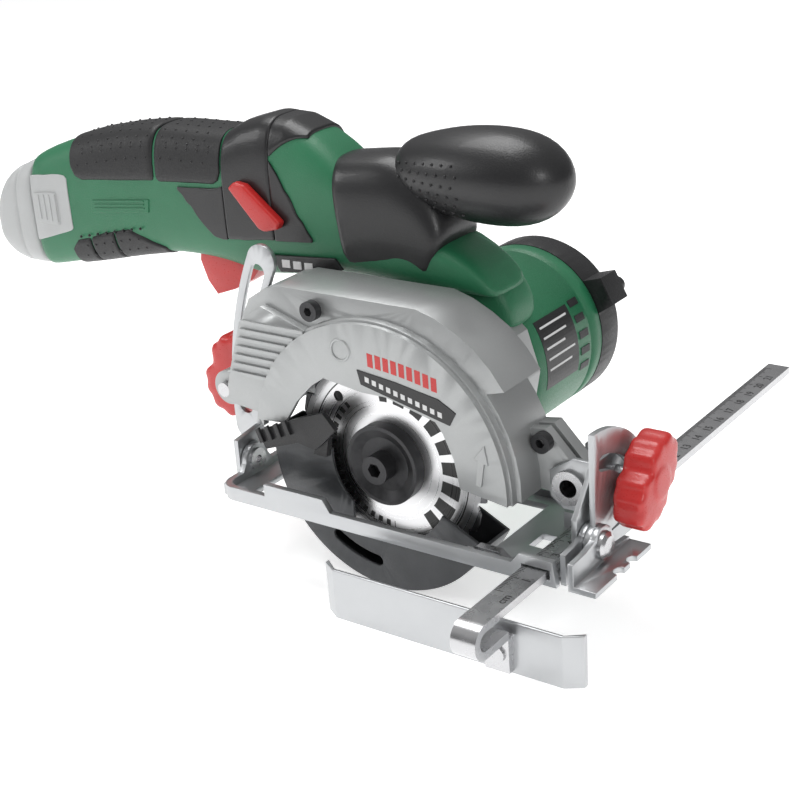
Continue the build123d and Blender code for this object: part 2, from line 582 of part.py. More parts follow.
# ---- gear housing -------------------------------------------------------------------------
casting = [(-37, 27), (-38, 46), (-30, 62), (-15, 74), (20, 74), (33, 62), (38, 46), (34, 27),
           (20, 10.5), (0, 7), (-24, 10.5)]
with BuildPart() as gear_housing:
    plate_y(casting, 20.2, 46.0)
    disc(0, axis_z, 9.0, 20.2, 16.9)
    disc(0, axis_z, 17.0, 20.2, 29.6)
    disc(0, axis_z, 26.4, 43.0, 12.2, Mode.SUBTRACT)
    disc(mid_x, mid_z, 26.4, 43.0, 20.0, Mode.SUBTRACT)
    disc(motor_x, motor_z, 36.0, 43.0, 6.5, Mode.SUBTRACT)
    disc(0, axis_z, 8, 36.5, 6.0 + play, Mode.SUBTRACT)
    block(-40, 40, 16, 20.2, -12, 8, Mode.SUBTRACT)
    disc(0, axis_z, 8, 11, 9.5, Mode.SUBTRACT)
    disc(mid_x, mid_z, 22.3, 47, 3.0 - play, Mode.SUBTRACT)
    disc(motor_x, motor_z, 36, 47, 8.0, Mode.SUBTRACT)
    disc_x(33, 36, -45, -35.2, 4.2, Mode.SUBTRACT)
    disc(-26, 58, 30, 47, 2.2, Mode.SUBTRACT)
    disc(28, 58, 30, 47, 2.2, Mode.SUBTRACT)
finish(gear_housing, "gear_housing")

with BuildPart() as spindle_seal:
    ring(0, axis_z, 9.0, 11.0, 9.5, 6.0 + play)
finish(spindle_seal, "spindle_seal")

# ---- handle and motor housing -------------------------------------------------------------
shell = [(-207, 60.8), (-211.5, 109), (-198, 115), (-181, 121),
         (-154, 127), (-127, 130), (-92, 130), (-85, 135), (-73, 138), (-61, 137), (-49, 133), (-36, 127),
         (-13, 127), (-6, 107), (8, 102), (11, 94), (22, 92), (32, 78), (-38, 78), (-60, 74),
                  (-83, 72), (-89, 71),
         (-95, 76), (-118, 76), (-135, 76), (-143, 74), (-167, 68), (-193, 63)]
skin = 15.0
notch = [(-220, 69.6), (-205.2, 73), (-186.0, 78.9), (-181.2, 82.0), (-179.8, 102.2), (-182.4, 104.8),
         (-220, 104.8)]


def hollow(points, y0, y1, thin):
    """Inside of a shell with the given outline."""
    with BuildSketch(at_y(y0)) as face:
        Polygon(*points, align=None)
        offset(amount=-thin, kind=Kind.ARC, mode=Mode.REPLACE)
    extrude(face.sketch, amount=y0 - y1, mode=Mode.SUBTRACT)


knob_z = 121.5
knob_profile = [(-14, 0), (-11, 8), (-4, 12.5), (6, 16), (20, 18.3), (35, 18.3), (46, 16), (54, 10),
                (57.5, 0)]


def knob_solid(less, mode=Mode.ADD):
    """Egg-shaped solid about the knob's axis, smaller by the given amount."""
    pts = []
    for px, pr in knob_profile:
        pts.append((px + (less if px < 20 else -less) * (1 if pr < 12.6 else 0.3), max(pr - less, 0)))
    with BuildSketch(Plane.XZ.offset(-handle_y)) as face:
        with BuildLine():
            Polyline(*[(px, knob_z + pr) for px, pr in pts], close=True)
        make_face()
    revolve(face.sketch, axis=Axis((0, handle_y, knob_z), (1, 0, 0)), mode=mode)


with BuildPart() as housing_near:
    plate_y(shell, handle_y - skin, handle_y)
    fillet(housing_near.faces().sort_by(Axis.Y)[0].edges(), 5)
    hollow(shell, handle_y - skin + wall, handle_y, 5.6 + 0.4)
    block(-122, -80, handle_y - 6.5, handle_y, 55, 84, Mode.SUBTRACT)
    block(-216, -198, handle_y - 10.4, handle_y, 69.4, 97.6, Mode.SUBTRACT)
    plate_y(notch, handle_y - skin - 1, handle_y - skin + 4.2, Mode.SUBTRACT)
    knob_solid(-0.05, Mode.SUBTRACT)
    disc(-86, 78.5, 20, 60, 1.52, Mode.SUBTRACT)
finish(housing_near, "housing_near")

with BuildPart() as housing_far:
    plate_y(shell, handle_y, handle_y + skin)
    fillet(housing_far.faces().sort_by(Axis.Y)[-1].edges(), 5)
    disc(motor_x, motor_z, 46.3, motor_y1, motor_r)
    plate_y([(-30, 60), (-38, 80), (24, 95), (33, 78), (30, 60)], 46.3, handle_y + skin)
    hollow(shell, handle_y, handle_y + skin - wall, 5.6 + 0.4)
    disc(motor_x, motor_z, 46, motor_y1 + 1, motor_r - wall, Mode.SUBTRACT)
    block(-122, -80, handle_y, handle_y + 6.5, 55, 84, Mode.SUBTRACT)
    block(-216, -198, handle_y, handle_y + 10.4, 69.4, 97.6, Mode.SUBTRACT)
    plate_y(notch, handle_y + skin - 4.2, handle_y + skin + 1, Mode.SUBTRACT)
    knob_solid(-0.05, Mode.SUBTRACT)
    disc(-86, 78.5, 20, 60, 1.52, Mode.SUBTRACT)
finish(housing_far, "housing_far")

with BuildPart() as motor_can:
    ring(motor_x, motor_z, 56.0, motor_y1 + 4, 21.0, 19.4)
    ring(motor_x, motor_z, motor_y1 + 4, motor_y1 + 6, 21.0, 2.2 + play)
    for a in (0, 90, 180, 270):
        plate_y([polar(20.9, a - 4, motor_x, motor_z), polar(31.9, a - 3, motor_x, motor_z),
                 polar(31.9, a + 3, motor_x, motor_z), polar(20.9, a + 4, motor_x, motor_z)], 60, 90)
finish(motor_can, "motor_can")

with BuildPart() as motor_magnets:
    ring(motor_x, motor_z, 58, 86, 19.4, 14.2)
    block(motor_x - 3, motor_x + 3, 50, 90, motor_z - 25, motor_z + 25, Mode.SUBTRACT)
finish(motor_magnets, "motor_magnets")

with BuildPart() as carbon_brushes:
    block(motor_x - 2.5, motor_x + 2.5, 91, 96, motor_z + 5.6, motor_z + 14.6)
    block(motor_x - 2.5, motor_x + 2.5, 91, 96, motor_z - 14.6, motor_z - 5.6)
finish(carbon_brushes, "carbon_brushes")

with BuildPart() as brush_holder:
    ring(motor_x, motor_z, 90, 97, 19.3, 15)
    ring(motor_x, motor_z, 97.0, 98.5, 19.3, 3)
finish(brush_holder, "brush_holder")

with BuildPart() as end_cap:
    disc(motor_x, motor_z, motor_y1, cap_y1 - 4, motor_r)
    disc(motor_x, motor_z, cap_y1 - 4, cap_y1 - 1.4, motor_r - 1.4)
    disc(motor_x, motor_z, cap_y1 - 1.4, cap_y1, motor_r - 4)
    plate_y([polar(33, 16, motor_x, motor_z), polar(42, 20, motor_x, motor_z), polar(42, 36, motor_x, motor_z),
             polar(33, 42, motor_x, motor_z)], motor_y1, cap_y1 - 5)
    disc(motor_x, motor_z, motor_y1 - 1, cap_y1 - 2.4, motor_r - 2.6, Mode.SUBTRACT)
    for i in range(6):
        slot_x = motor_x + 7 * (i - 2.5)
        block(slot_x - 1.6, slot_x + 1.6, cap_y1 - 6, cap_y1 + 1, motor_z - 14, motor_z + 14, Mode.SUBTRACT)
    hx, hz = polar(38.3, 28, motor_x, motor_z)
    disc(hx, hz, 90, 120, 1.7, Mode.SUBTRACT)
finish(end_cap, "end_cap")

with BuildPart() as end_cap_screw:
    disc(hx, hz, motor_y1, cap_y1 - 5, 1.7)
    disc(hx, hz, cap_y1 - 5, cap_y1 - 2.5, 3.2)
finish(end_cap_screw, "end_cap_screw")

# ---- front knob ---------------------------------------------------------------------------
with BuildPart() as knob_pad:
    knob_solid(0)
    knob_solid(1.6, Mode.SUBTRACT)
    block(-30, 70, 0, 80, 90, knob_z + 3, Mode.SUBTRACT)
finish(knob_pad, "knob_pad")

with BuildPart() as front_knob:
    knob_solid(0)
    add(knob_pad.part, mode=Mode.SUBTRACT)
    knob_solid(4.0, Mode.SUBTRACT)
finish(front_knob, "front_knob")

# ---- grips, controls and battery ----------------------------------------------------------
grip_top = [(-196, 116), (-181, 122.4), (-154, 128.4), (-127, 131.4), (-96, 131.4), (-96, 122), (-127, 121),
            (-152, 118), (-176, 112), (-190, 106)]
grip_low = [(-192, 61.6), (-167, 66.4), (-143, 72.4), (-135, 74.4), (-120, 74.4), (-120, 84), (-137, 84),
            (-146, 82), (-168, 76), (-186, 72)]
with BuildPart() as top_grip:
    plate_y(grip_top, handle_y - 10, handle_y + 10)
    plate_y(grip_top, handle_y - skin + 1.6, handle_y + skin - 1.6)
    add(housing_near.part, mode=Mode.SUBTRACT)
    add(housing_far.part, mode=Mode.SUBTRACT)
    with BuildSketch(at_y(0)):
        Polygon(*shell, align=None)
        offset(amount=-1.0, kind=Kind.ARC, mode=Mode.REPLACE)
    to_y(80, Mode.SUBTRACT)
finish(top_grip, "top_grip")

with BuildPart() as lower_grip:
    plate_y(grip_low, handle_y - skin + 1.6, handle_y + skin - 1.6)
    add(housing_near.part, mode=Mode.SUBTRACT)
    add(housing_far.part, mode=Mode.SUBTRACT)
    with BuildSketch(at_y(0)):
        Polygon(*shell, align=None)
        offset(amount=-1.0, kind=Kind.ARC, mode=Mode.REPLACE)
    to_y(80, Mode.SUBTRACT)
finish(lower_grip, "lower_grip")

panel = [(-116, 108.5), (-109, 100.5), (-100.5, 90.5), (-94.5, 88.2), (-48, 92.3), (-57.5, 107.8),
         (-67, 123), (-52, 133), (-60, 134), (-84, 130), (-92, 125), (-94, 110)]
with BuildPart() as side_panel:
    plate_y(panel, handle_y - skin - 1.6, handle_y - skin)
    plate_y([(-93, 109.5), (-86, 116), (-74, 116), (-55, 99.5), (-60, 91.8),
             (-77, 91.8)], handle_y - skin - 2,
            handle_y - skin + 1, Mode.SUBTRACT)
finish(side_panel, "side_panel")

# diagonal paddle that slides back to free the trigger
with BuildPart() as lock_off_lever:
    plate_y([(-85.3, 110.8), (-82.0, 113.4), (-77.2, 112.8), (-60.4, 99.4), (-61.6, 96.6), (-68.6, 94.9),
             (-71.4, 95.8)], handle_y - skin - 4.4, handle_y - skin - 0.2)
finish(lock_off_lever, "lock_off_lever")

trigger_x, trigger_z = -86.0, 78.5
with BuildPart() as trigger:
    plate_y([(-115.5, 80), (-116.5, 74), (-113.5, 65.5), (-109, 60), (-99, 63.5), (-89, 69),
             (-83.5, 75), (-83.5, 81),
             (-90, 82)], handle_y - 6.1, handle_y + 6.1)
    disc(trigger_x, trigger_z, 20, 60, 1.5 + play, Mode.SUBTRACT)
finish(trigger, "trigger")

with BuildPart() as trigger_pin:
    disc(trigger_x, trigger_z, handle_y - 8.0, handle_y + 8.0, 1.5)
finish(trigger_pin, "trigger_pin")

with BuildPart() as switch_module:
    block(-118, -92, handle_y - 7, handle_y + 7, 90, 108)
    block(-112, -104, handle_y - 3, handle_y + 3, 86.5, 90)
finish(switch_module, "switch_module")

with BuildPart() as gauge_window:
    plate_y([(-90, 81), (-88, 86), (-58, 84), (-62, 79)], handle_y - skin - 1.0, handle_y - skin)
finish(gauge_window, "gauge_window")

# The case has a flat tongue on each side that reaches into a notch of the housing and holds a
# release key.
tongue = [(-214, 71.6), (-205.6, 74), (-186.4, 79.9), (-182.1, 82.6), (-180.8, 101.6), (-182.8, 103.6),
          (-214, 103.6)]
with BuildPart() as battery_pack:
    plate_y([(-207.6, 60.4), (-214, 60), (-227, 62), (-235, 71), (-234, 86), (-228, 101), (-218, 106),
             (-212.2, 108.4)], handle_y - 14, handle_y + 14)
    fillet(battery_pack.faces().sort_by(Axis.Y)[0].edges(), 2.5)
    fillet(battery_pack.faces().sort_by(Axis.Y)[-1].edges(), 2.5)
    block(-214, -190, handle_y - 10, handle_y + 10, 70, 97)
    for side in (-1, 1):
        y0, y1 = sorted((handle_y + side * 11.6, handle_y + side * 14.0))
        plate_y(tongue, y0, y1)
        block(-203.5, -187.5, y0 - 1, y1 + 1, 82.7, 98.3, Mode.SUBTRACT)
finish(battery_pack, "battery_pack")

with BuildPart() as battery_terminals:
    for i in range(3):
        ty = handle_y - 6 + 6 * i
        block(-189, -180, ty - 0.5, ty + 0.5, 76, 88)
    block(-180, -177, handle_y - 9, handle_y + 9, 72, 92)
finish(battery_terminals, "battery_terminals")

for side, word in ((-1, "near"), (1, "far")):
    with BuildPart() as battery_button:
        button_y = handle_y + (13.5 if side > 0 else -16.2)
        block(-203, -188, button_y, button_y + 2.7, 83.2, 97.8)
    finish(battery_button, f"battery_button_{word}")

with BuildPart() as spindle_lock:
    disc_x(33, 36, -44, -36.6, 4.0)
finish(spindle_lock, "spindle_lock")

with BuildPart() as label_plate:
    plate_y([(-30, 53), (-28, 57), (-14, 62), (-16, 57)], -9.8, -9.5)
finish(label_plate, "label_plate")

with BuildPart() as housing_screws:
    for sx, sz in ((-160, 98), (-72, 110), (-130, 104), (-30, 104)):
        disc(sx, sz, handle_y - 9, handle_y + 9, 1.7)
        disc(sx, sz, handle_y - 10.5, handle_y - 9, 3.0)
finish(housing_screws, "housing_screws")
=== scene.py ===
import json
from math import acos, asin, cos, degrees, pi, radians, sin, sqrt
import bmesh
import bpy
from mathutils import Matrix, Vector


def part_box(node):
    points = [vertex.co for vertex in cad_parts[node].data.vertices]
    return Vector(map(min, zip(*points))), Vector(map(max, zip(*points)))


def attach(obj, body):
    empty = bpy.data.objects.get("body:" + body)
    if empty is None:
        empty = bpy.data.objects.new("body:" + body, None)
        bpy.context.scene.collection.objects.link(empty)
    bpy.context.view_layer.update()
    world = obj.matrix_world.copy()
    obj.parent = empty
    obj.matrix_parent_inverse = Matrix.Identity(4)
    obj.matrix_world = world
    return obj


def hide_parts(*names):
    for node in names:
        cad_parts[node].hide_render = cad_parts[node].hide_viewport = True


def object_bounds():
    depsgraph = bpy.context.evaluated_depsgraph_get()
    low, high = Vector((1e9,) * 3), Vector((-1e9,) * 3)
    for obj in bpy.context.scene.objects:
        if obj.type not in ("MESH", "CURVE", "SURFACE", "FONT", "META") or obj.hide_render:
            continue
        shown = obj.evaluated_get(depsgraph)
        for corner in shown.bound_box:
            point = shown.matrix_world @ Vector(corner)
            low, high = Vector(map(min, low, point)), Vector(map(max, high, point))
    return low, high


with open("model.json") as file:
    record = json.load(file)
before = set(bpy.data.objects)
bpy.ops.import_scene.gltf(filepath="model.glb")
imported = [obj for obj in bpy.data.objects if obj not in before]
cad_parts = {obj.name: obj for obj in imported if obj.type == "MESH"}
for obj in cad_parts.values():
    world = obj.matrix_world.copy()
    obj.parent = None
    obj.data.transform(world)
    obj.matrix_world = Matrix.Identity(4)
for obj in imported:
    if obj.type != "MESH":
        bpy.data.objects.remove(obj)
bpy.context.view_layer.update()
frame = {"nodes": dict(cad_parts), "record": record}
cad = frame["nodes"]


# ---- sole -----------------------------------------------------------------------------------
# Pressed from 2.5 mm steel sheet, zinc plated. The rolling marks run along its length and the
# plating is mottled; the rim, the ears and the bridges over the guide bar are folded up from it.
class Wire:
    """One shader socket, used in ordinary sums."""

    def __init__(self, finish, socket):
        self.finish = finish
        self.socket = socket

    def sum(self, operation, *terms):
        return self.finish.make("ShaderNodeMath", {"operation": operation}, dict(enumerate(terms)))

    def __add__(self, other): return self.sum("ADD", self, other)
    def __radd__(self, other): return self.sum("ADD", other, self)
    def __sub__(self, other): return self.sum("SUBTRACT", self, other)
    def __rsub__(self, other): return self.sum("SUBTRACT", other, self)
    def __mul__(self, other): return self.sum("MULTIPLY", self, other)
    def __rmul__(self, other): return self.sum("MULTIPLY", other, self)
    def __truediv__(self, other): return self.sum("DIVIDE", self, other)
    def __gt__(self, other): return self.sum("GREATER_THAN", self, other)
    def __lt__(self, other): return self.sum("LESS_THAN", self, other)
    def __abs__(self): return self.sum("ABSOLUTE", self)


class Finish:
    """A surface finish, ending in one Principled shader."""

    def __init__(self, name, colour, roughness, metallic=0.0, coat=0.0):
        self.material = bpy.data.materials.new(name)
        self.material.use_nodes = True
        self.nodes = self.material.node_tree.nodes
        self.shader = self.nodes["Principled BSDF"]
        self.put("Base Color", (*colour, 1.0))
        self.put("Roughness", roughness)
        self.put("Metallic", metallic)
        self.put("Coat Weight", coat)
        place = self.nodes.new("ShaderNodeTexCoord")
        self.place = Wire(self, place.outputs["Object"])

    def put(self, name, value, node=None):
        socket = (node or self.shader).inputs[name]
        if isinstance(value, Wire):
            self.material.node_tree.links.new(value.socket, socket)
        else:
            socket.default_value = value

    def make(self, kind, settings, sockets, output=0):
        node = self.nodes.new(kind)
        for key, value in settings.items():
            if key == "stops":
                ramp = node.color_ramp.elements
                while len(ramp) < len(value):
                    ramp.new(0.5)
                for stop, (at, colour) in zip(ramp, value):
                    stop.position = at
                    stop.color = (*colour, 1.0)
            else:
                setattr(node, key, value)
        for key, value in sockets.items():
            self.put(key, value, node)
        return Wire(self, node.outputs[output])

    def axes(self):
        node = self.nodes.new("ShaderNodeSeparateXYZ")
        self.put(0, self.place, node)
        return [Wire(self, out) for out in node.outputs]

    def grain(self, scale, stretch=(1, 1, 1), detail=3.0, rough=0.55):
        spot = self.make("ShaderNodeMapping", {}, {"Vector": self.place, "Scale": stretch})
        return self.make("ShaderNodeTexNoise", {}, {"Vector": spot, "Scale": scale, "Detail": detail,
                                                    "Roughness": rough})

    def mix(self, mask, low, high):
        return self.make("ShaderNodeMix", {"data_type": "RGBA"},
                         {0: mask, 6: low if isinstance(low, Wire) else (*low, 1.0),
                          7: high if isinstance(high, Wire) else (*high, 1.0)}, 2)

    def level(self, mask, low, high):
        return self.make("ShaderNodeMapRange", {}, {"Value": mask, "From Min": 0.3, "From Max": 0.7,
                                                    "To Min": low, "To Max": high})

    def bump(self, height, depth, strength=1.0):
        self.put("Normal", self.make("ShaderNodeBump", {}, {"Strength": strength, "Distance": depth,
                                                            "Height": height}))


def dress(node, finish):
    """Give a node of the frame its finish."""
    slots = cad[node].data.materials
    slots.clear()
    slots.append(finish.material)


zinc = Finish("zinc plated sheet", (0.48, 0.49, 0.50), 0.34, 0.9)
mottle = zinc.grain(55, detail=4)
zinc.put("Base Color", zinc.mix(mottle, (0.44, 0.45, 0.46), (0.54, 0.55, 0.56)))
zinc.put("Roughness", zinc.level(mottle, 0.30, 0.40))
for name in ("sole_plate", "front_foot", "bar_clamp_bridge", "swivel_bracket", "fence_plate"):
    dress(name, zinc)

# ---- guide bar ------------------------------------------------------------------------------
# A flat bar of bright drawn steel, bent back on itself below the sole to carry the fence.
steel = Finish("bright steel", (0.55, 0.55, 0.56), 0.26, 1.0)
drawn = steel.grain(160, detail=2)
steel.put("Base Color", steel.mix(steel.grain(40), (0.48, 0.48, 0.49), (0.60, 0.60, 0.61)))
steel.put("Roughness", steel.level(drawn, 0.22, 0.32))
for name in ("guide_bar", "fence_rivet", "bevel_rivets", "guide_spring", "depth_pivot_pin", "pivot_cap_nut",
             "front_clamp_bolt", "rear_clamp_bolt", "inner_flange", "spindle", "output_gear", "idler_gears",
             "idler_pin", "rotor_shaft", "trigger_pin", "motor_can", "depth_strap", "bevel_quadrant"):
    dress(name, steel)

# ---- blade ----------------------------------------------------------------------------------
# Ground steel with its grinding rings, brazed carbide tips and a printed black ring of blocks.
blade_axis = Vector((0, 0, (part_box("saw_blade")[0].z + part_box("saw_blade")[1].z) / 2))
blade = Finish("ground blade steel", (0.70, 0.70, 0.71), 0.3, 0.85)
bx, by, bz = blade.axes()
bz = bz - blade_axis.z
reach = bx.sum("SQRT", bx * bx + bz * bz)
turn = bx.sum("ARCTAN2", bz, bx)
rings = blade.make("ShaderNodeTexNoise", {"noise_dimensions": "1D"},
                   {"W": reach, "Scale": 1200, "Detail": 1})
blade.put("Roughness", blade.level(rings, 0.27, 0.33))
tips = reach > 0.0402
ink = (reach > 0.0345) * (reach < 0.0350)
blocks = (reach > 0.0235) * (reach < 0.0315) * (turn.sum("SINE", turn * 20) > -0.45)
ink = ink + blocks * (turn.sum("SINE", turn + 1.2) > 0.25)
small = (reach > 0.0250) * (reach < 0.0275) * (turn.sum("SINE", turn * 44) > 0.0)
ink = ink + small * (turn.sum("SINE", turn + 1.2) < -0.35)
blade.put("Base Color", blade.mix(ink, blade.mix(tips, (0.76, 0.76, 0.77), (0.32, 0.32, 0.33)),
                                  (0.02, 0.02, 0.02)))
blade.put("Metallic", 1 - ink * 0.9)
dress("saw_blade", blade)

black_steel = Finish("blackened steel", (0.035, 0.035, 0.038), 0.38, 0.6)
worn = black_steel.grain(300, detail=4)
black_steel.put("Roughness", black_steel.level(worn, 0.3, 0.5))
black_steel.put("Base Color", black_steel.mix(worn, (0.02, 0.02, 0.022), (0.07, 0.07, 0.073)))
for name in ("outer_flange", "arbor_bolt", "guard_screws", "end_cap_screw", "housing_screws",
             "bar_clamp_screw"):
    dress(name, black_steel)

# ---- guards and gear casting ----------------------------------------------------------------
# Aluminium die castings with silver-grey paint: a slight orange peel over the sand of the mould.
cast = Finish("silver-grey paint on casting", (0.40, 0.41, 0.41), 0.38, 0.55, 0.1)
sand = cast.grain(1400, detail=2)
cloud = cast.grain(30, detail=3)
cast.put("Base Color", cast.mix(cloud, (0.37, 0.38, 0.38), (0.44, 0.45, 0.45)))
cast.put("Roughness", cast.level(sand, 0.32, 0.46))
cast.bump(sand, 0.00003)
for name in ("upper_guard", "gear_housing"):
    dress(name, cast)

dark_cast = Finish("dark grey satin paint", (0.05, 0.053, 0.057), 0.36, 0.4, 0.1)
dark_sand = dark_cast.grain(1100, detail=2)
dark_cast.put("Base Color", dark_cast.mix(dark_cast.grain(60), (0.035, 0.037, 0.04), (0.075, 0.078, 0.082)))
dark_cast.put("Roughness", dark_cast.level(dark_sand, 0.28, 0.46))
dark_cast.bump(dark_sand, 0.00006)
dress("lower_guard", dark_cast)

# ---- green housing --------------------------------------------------------------------------
# Glass-filled nylon with a fine spark-eroded texture, moulded green.
green = Finish("green moulded nylon", (0.019, 0.156, 0.070), 0.42)
spark = green.grain(2200, detail=2)
green.put("Base Color", green.mix(green.grain(45, detail=4), (0.014, 0.130, 0.057), (0.026, 0.190, 0.088)))
green.put("Roughness", green.level(spark, 0.34, 0.52))
green.bump(spark, 0.00012)
for name in ("housing_near", "housing_far", "front_knob"):
    dress(name, green)

# ---- grip rubber ----------------------------------------------------------------------------
# Soft black elastomer moulded over the shell, covered with small raised dots.
soft = Finish("dimpled soft grip", (0.02, 0.02, 0.022), 0.6)
soft_grain = soft.grain(1500, detail=2)
soft.put("Base Color", soft.mix(soft.grain(70), (0.007, 0.007, 0.008), (0.016, 0.016, 0.017)))
soft.put("Roughness", soft.level(soft_grain, 0.42, 0.62))
soft.bump(soft_grain, 0.00008)
for name in ("top_grip", "lower_grip", "knob_pad"):
    dress(name, soft)
plain_soft = Finish("black rubber", (0.02, 0.02, 0.022), 0.6)
plain_soft.put("Roughness", plain_soft.level(plain_soft.grain(600), 0.5, 0.7))
dress("spindle_seal", plain_soft)

# ---- black, red and grey mouldings ----------------------------------------------------------
# Moulded nylon in black, red and pale grey, each with a fine spark-eroded grain; then dull iron for
# the magnets and the rotor core, and brass for the battery terminals.
black = Finish("black moulded nylon", (0.022, 0.022, 0.024), 0.42)
black_spark = black.grain(1800, detail=2)
black.put("Base Color", black.mix(black.grain(40), (0.008, 0.008, 0.009), (0.018, 0.018, 0.019)))
black.put("Roughness", black.level(black_spark, 0.34, 0.54))
black.bump(black_spark, 0.0001)
for name in ("side_panel", "end_cap", "switch_module", "gauge_window", "label_plate", "cooling_fan",
             "brush_holder", "carbon_brushes", "guard_lever"):
    dress(name, black)

red = Finish("red moulded nylon", (0.56, 0.022, 0.020), 0.34, 0.0, 0.2)
red_spark = red.grain(1500, detail=2)
red.put("Base Color", red.mix(red.grain(60), (0.46, 0.016, 0.016), (0.64, 0.030, 0.026)))
red.put("Roughness", red.level(red_spark, 0.26, 0.44))
red.bump(red_spark, 0.00006)
for name in ("trigger", "lock_off_lever", "spindle_lock", "front_wing_knob", "rear_wing_knob"):
    dress(name, red)

grey = Finish("pale grey moulded case", (0.55, 0.56, 0.56), 0.44)
grey_spark = grey.grain(1600, detail=2)
grey.put("Base Color", grey.mix(grey.grain(50), (0.40, 0.41, 0.41), (0.50, 0.51, 0.51)))
grey.put("Roughness", grey.level(grey_spark, 0.36, 0.54))
grey.bump(grey_spark, 0.00008)
for name in ("battery_pack", "battery_button_near", "battery_button_far"):
    dress(name, grey)

iron = Finish("dull iron", (0.12, 0.12, 0.125), 0.55, 0.8)
iron.put("Roughness", iron.level(iron.grain(500), 0.45, 0.65))
for name in ("motor_magnets", "rotor_core"):
    dress(name, iron)
brass = Finish("brass", (0.72, 0.52, 0.20), 0.3, 1.0)
brass.put("Roughness", brass.level(brass.grain(500), 0.25, 0.4))
dress("battery_terminals", brass)

# ---- handle and motor housing ---------------------------------------------------------------
# Two green shells meet on the handle's middle plane and are screwed together; the far one carries
# the motor barrel. Every edge has a generous moulded radius.
def join_rings(rings, closed_ends=True):
    """Skin of rings of equal count, ends closed with fans."""
    mesh = bmesh.new()
    loops = [[mesh.verts.new(p) for p in ring] for ring in rings]
    count = len(loops[0])
    for one, two in zip(loops, loops[1:]):
        for i in range(count):
            mesh.faces.new((one[i], one[(i + 1) % count], two[(i + 1) % count], two[i]))
    if closed_ends:
        for loop, flip in ((loops[0], True), (loops[-1], False)):
            centre = mesh.verts.new(sum((v.co for v in loop), Vector()) / count)
            for i in range(count):
                pair = (loop[i], loop[(i + 1) % count])
                mesh.faces.new((centre, *(pair if not flip else pair[::-1])))
    bmesh.ops.recalc_face_normals(mesh, faces=mesh.faces)
    return mesh


def piece(name, mesh, finish, body, smooth=True, levels=0):
    """Object at the origin from a bmesh, riding on a body."""
    data = bpy.data.meshes.new(name)
    mesh.to_mesh(data)
    mesh.free()
    for face in data.polygons:
        face.use_smooth = smooth
    data.materials.append(finish.material)
    item = bpy.data.objects.new(name, data)
    bpy.context.scene.collection.objects.link(item)
    if levels:
        sub = item.modifiers.new("round", "SUBSURF")
        sub.levels = sub.render_levels = levels
    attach(item, body)
    return item


def oval(x, z_low, z_high, y_mid, half, power=2.6, steps=28, tilt=0.0):
    """Section across the handle at x, a soft-cornered oval leaning by tilt."""
    ring = []
    for i in range(steps):
        t = 2 * pi * i / steps
        c, s = cos(t), sin(t)
        y = y_mid + half * (abs(c) ** (2 / power)) * (1 if c >= 0 else -1)
        k = (abs(s) ** (2 / power)) * (1 if s >= 0 else -1)
        z = (z_low + z_high) / 2 + (z_high - z_low) / 2 * k
        ring.append((x + tilt * k, y, z))
    return ring


mid = 0.039
handle_power = 3.6
stations = ((-0.2068, 0.0610, 0.1105, 0.0120), (-0.2058, 0.0607, 0.1115, 0.0144),
            (-0.2000, 0.0618, 0.1142, 0.0149),
            (-0.1900, 0.0640, 0.1180, 0.0149), (-0.1700, 0.0680, 0.1235, 0.0146),
            (-0.1500, 0.0725, 0.1272, 0.0144), (-0.1320, 0.0760, 0.1294, 0.0144),
            (-0.1180, 0.0765, 0.1298, 0.0146),
            (-0.1050, 0.0765, 0.1298, 0.0148), (-0.0920, 0.0750, 0.1300, 0.0149),
            (-0.0830, 0.0725, 0.1345, 0.0149),
            (-0.0720, 0.0735, 0.1375, 0.0149), (-0.0600, 0.0750, 0.1368, 0.0149),
            (-0.0490, 0.0768, 0.1325, 0.0149),
            (-0.0380, 0.0785, 0.1250, 0.0149), (-0.0310, 0.0785, 0.1180, 0.0149),
            (-0.0230, 0.0785, 0.1120, 0.0147),
            (-0.0120, 0.0785, 0.1060, 0.0146), (0.0000, 0.0785, 0.1010, 0.0144),
            (0.0100, 0.0785, 0.0960, 0.0142),
            (0.0200, 0.0785, 0.0925, 0.0138), (0.0270, 0.0785, 0.0870, 0.0125),
            (0.0312, 0.0790, 0.0810, 0.0110))
body_skin = join_rings([oval(x, lo, hi, mid, half, handle_power, 40) for x, lo, hi, half in stations])
housing = piece("housing_shell", body_skin, green, "saw", levels=1)
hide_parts("housing_near")

# The motor barrel: a turned green cup with a rolled shoulder, shallow flats and cooling slots.
motor = Vector((0.002, 0, 0.042))
barrel_radius = 0.0343


def turned(name, profile, finish, body, centre=motor, steps=72, levels=0):
    """Turned piece about an axis along Y; the profile is (y, radius) pairs."""
    rings = [[(centre.x + r * cos(2 * pi * i / steps), y, centre.z + r * sin(2 * pi * i / steps))
              for i in range(steps)] for y, r in profile]
    return piece(name, join_rings(rings), finish, body, levels=levels)


barrel = turned("motor_barrel", ((0.0465, 0.0300), (0.0465, 0.0328), (0.0475, 0.0338),
                                 (0.0500, barrel_radius),
                                 (0.0880, barrel_radius), (0.0884, 0.0336), (0.0896, 0.0336),
                                 (0.0900, barrel_radius),
                                 (0.0966, barrel_radius), (0.0970, 0.0338), (0.0970, 0.0300)), green, "saw")
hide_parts("housing_far")

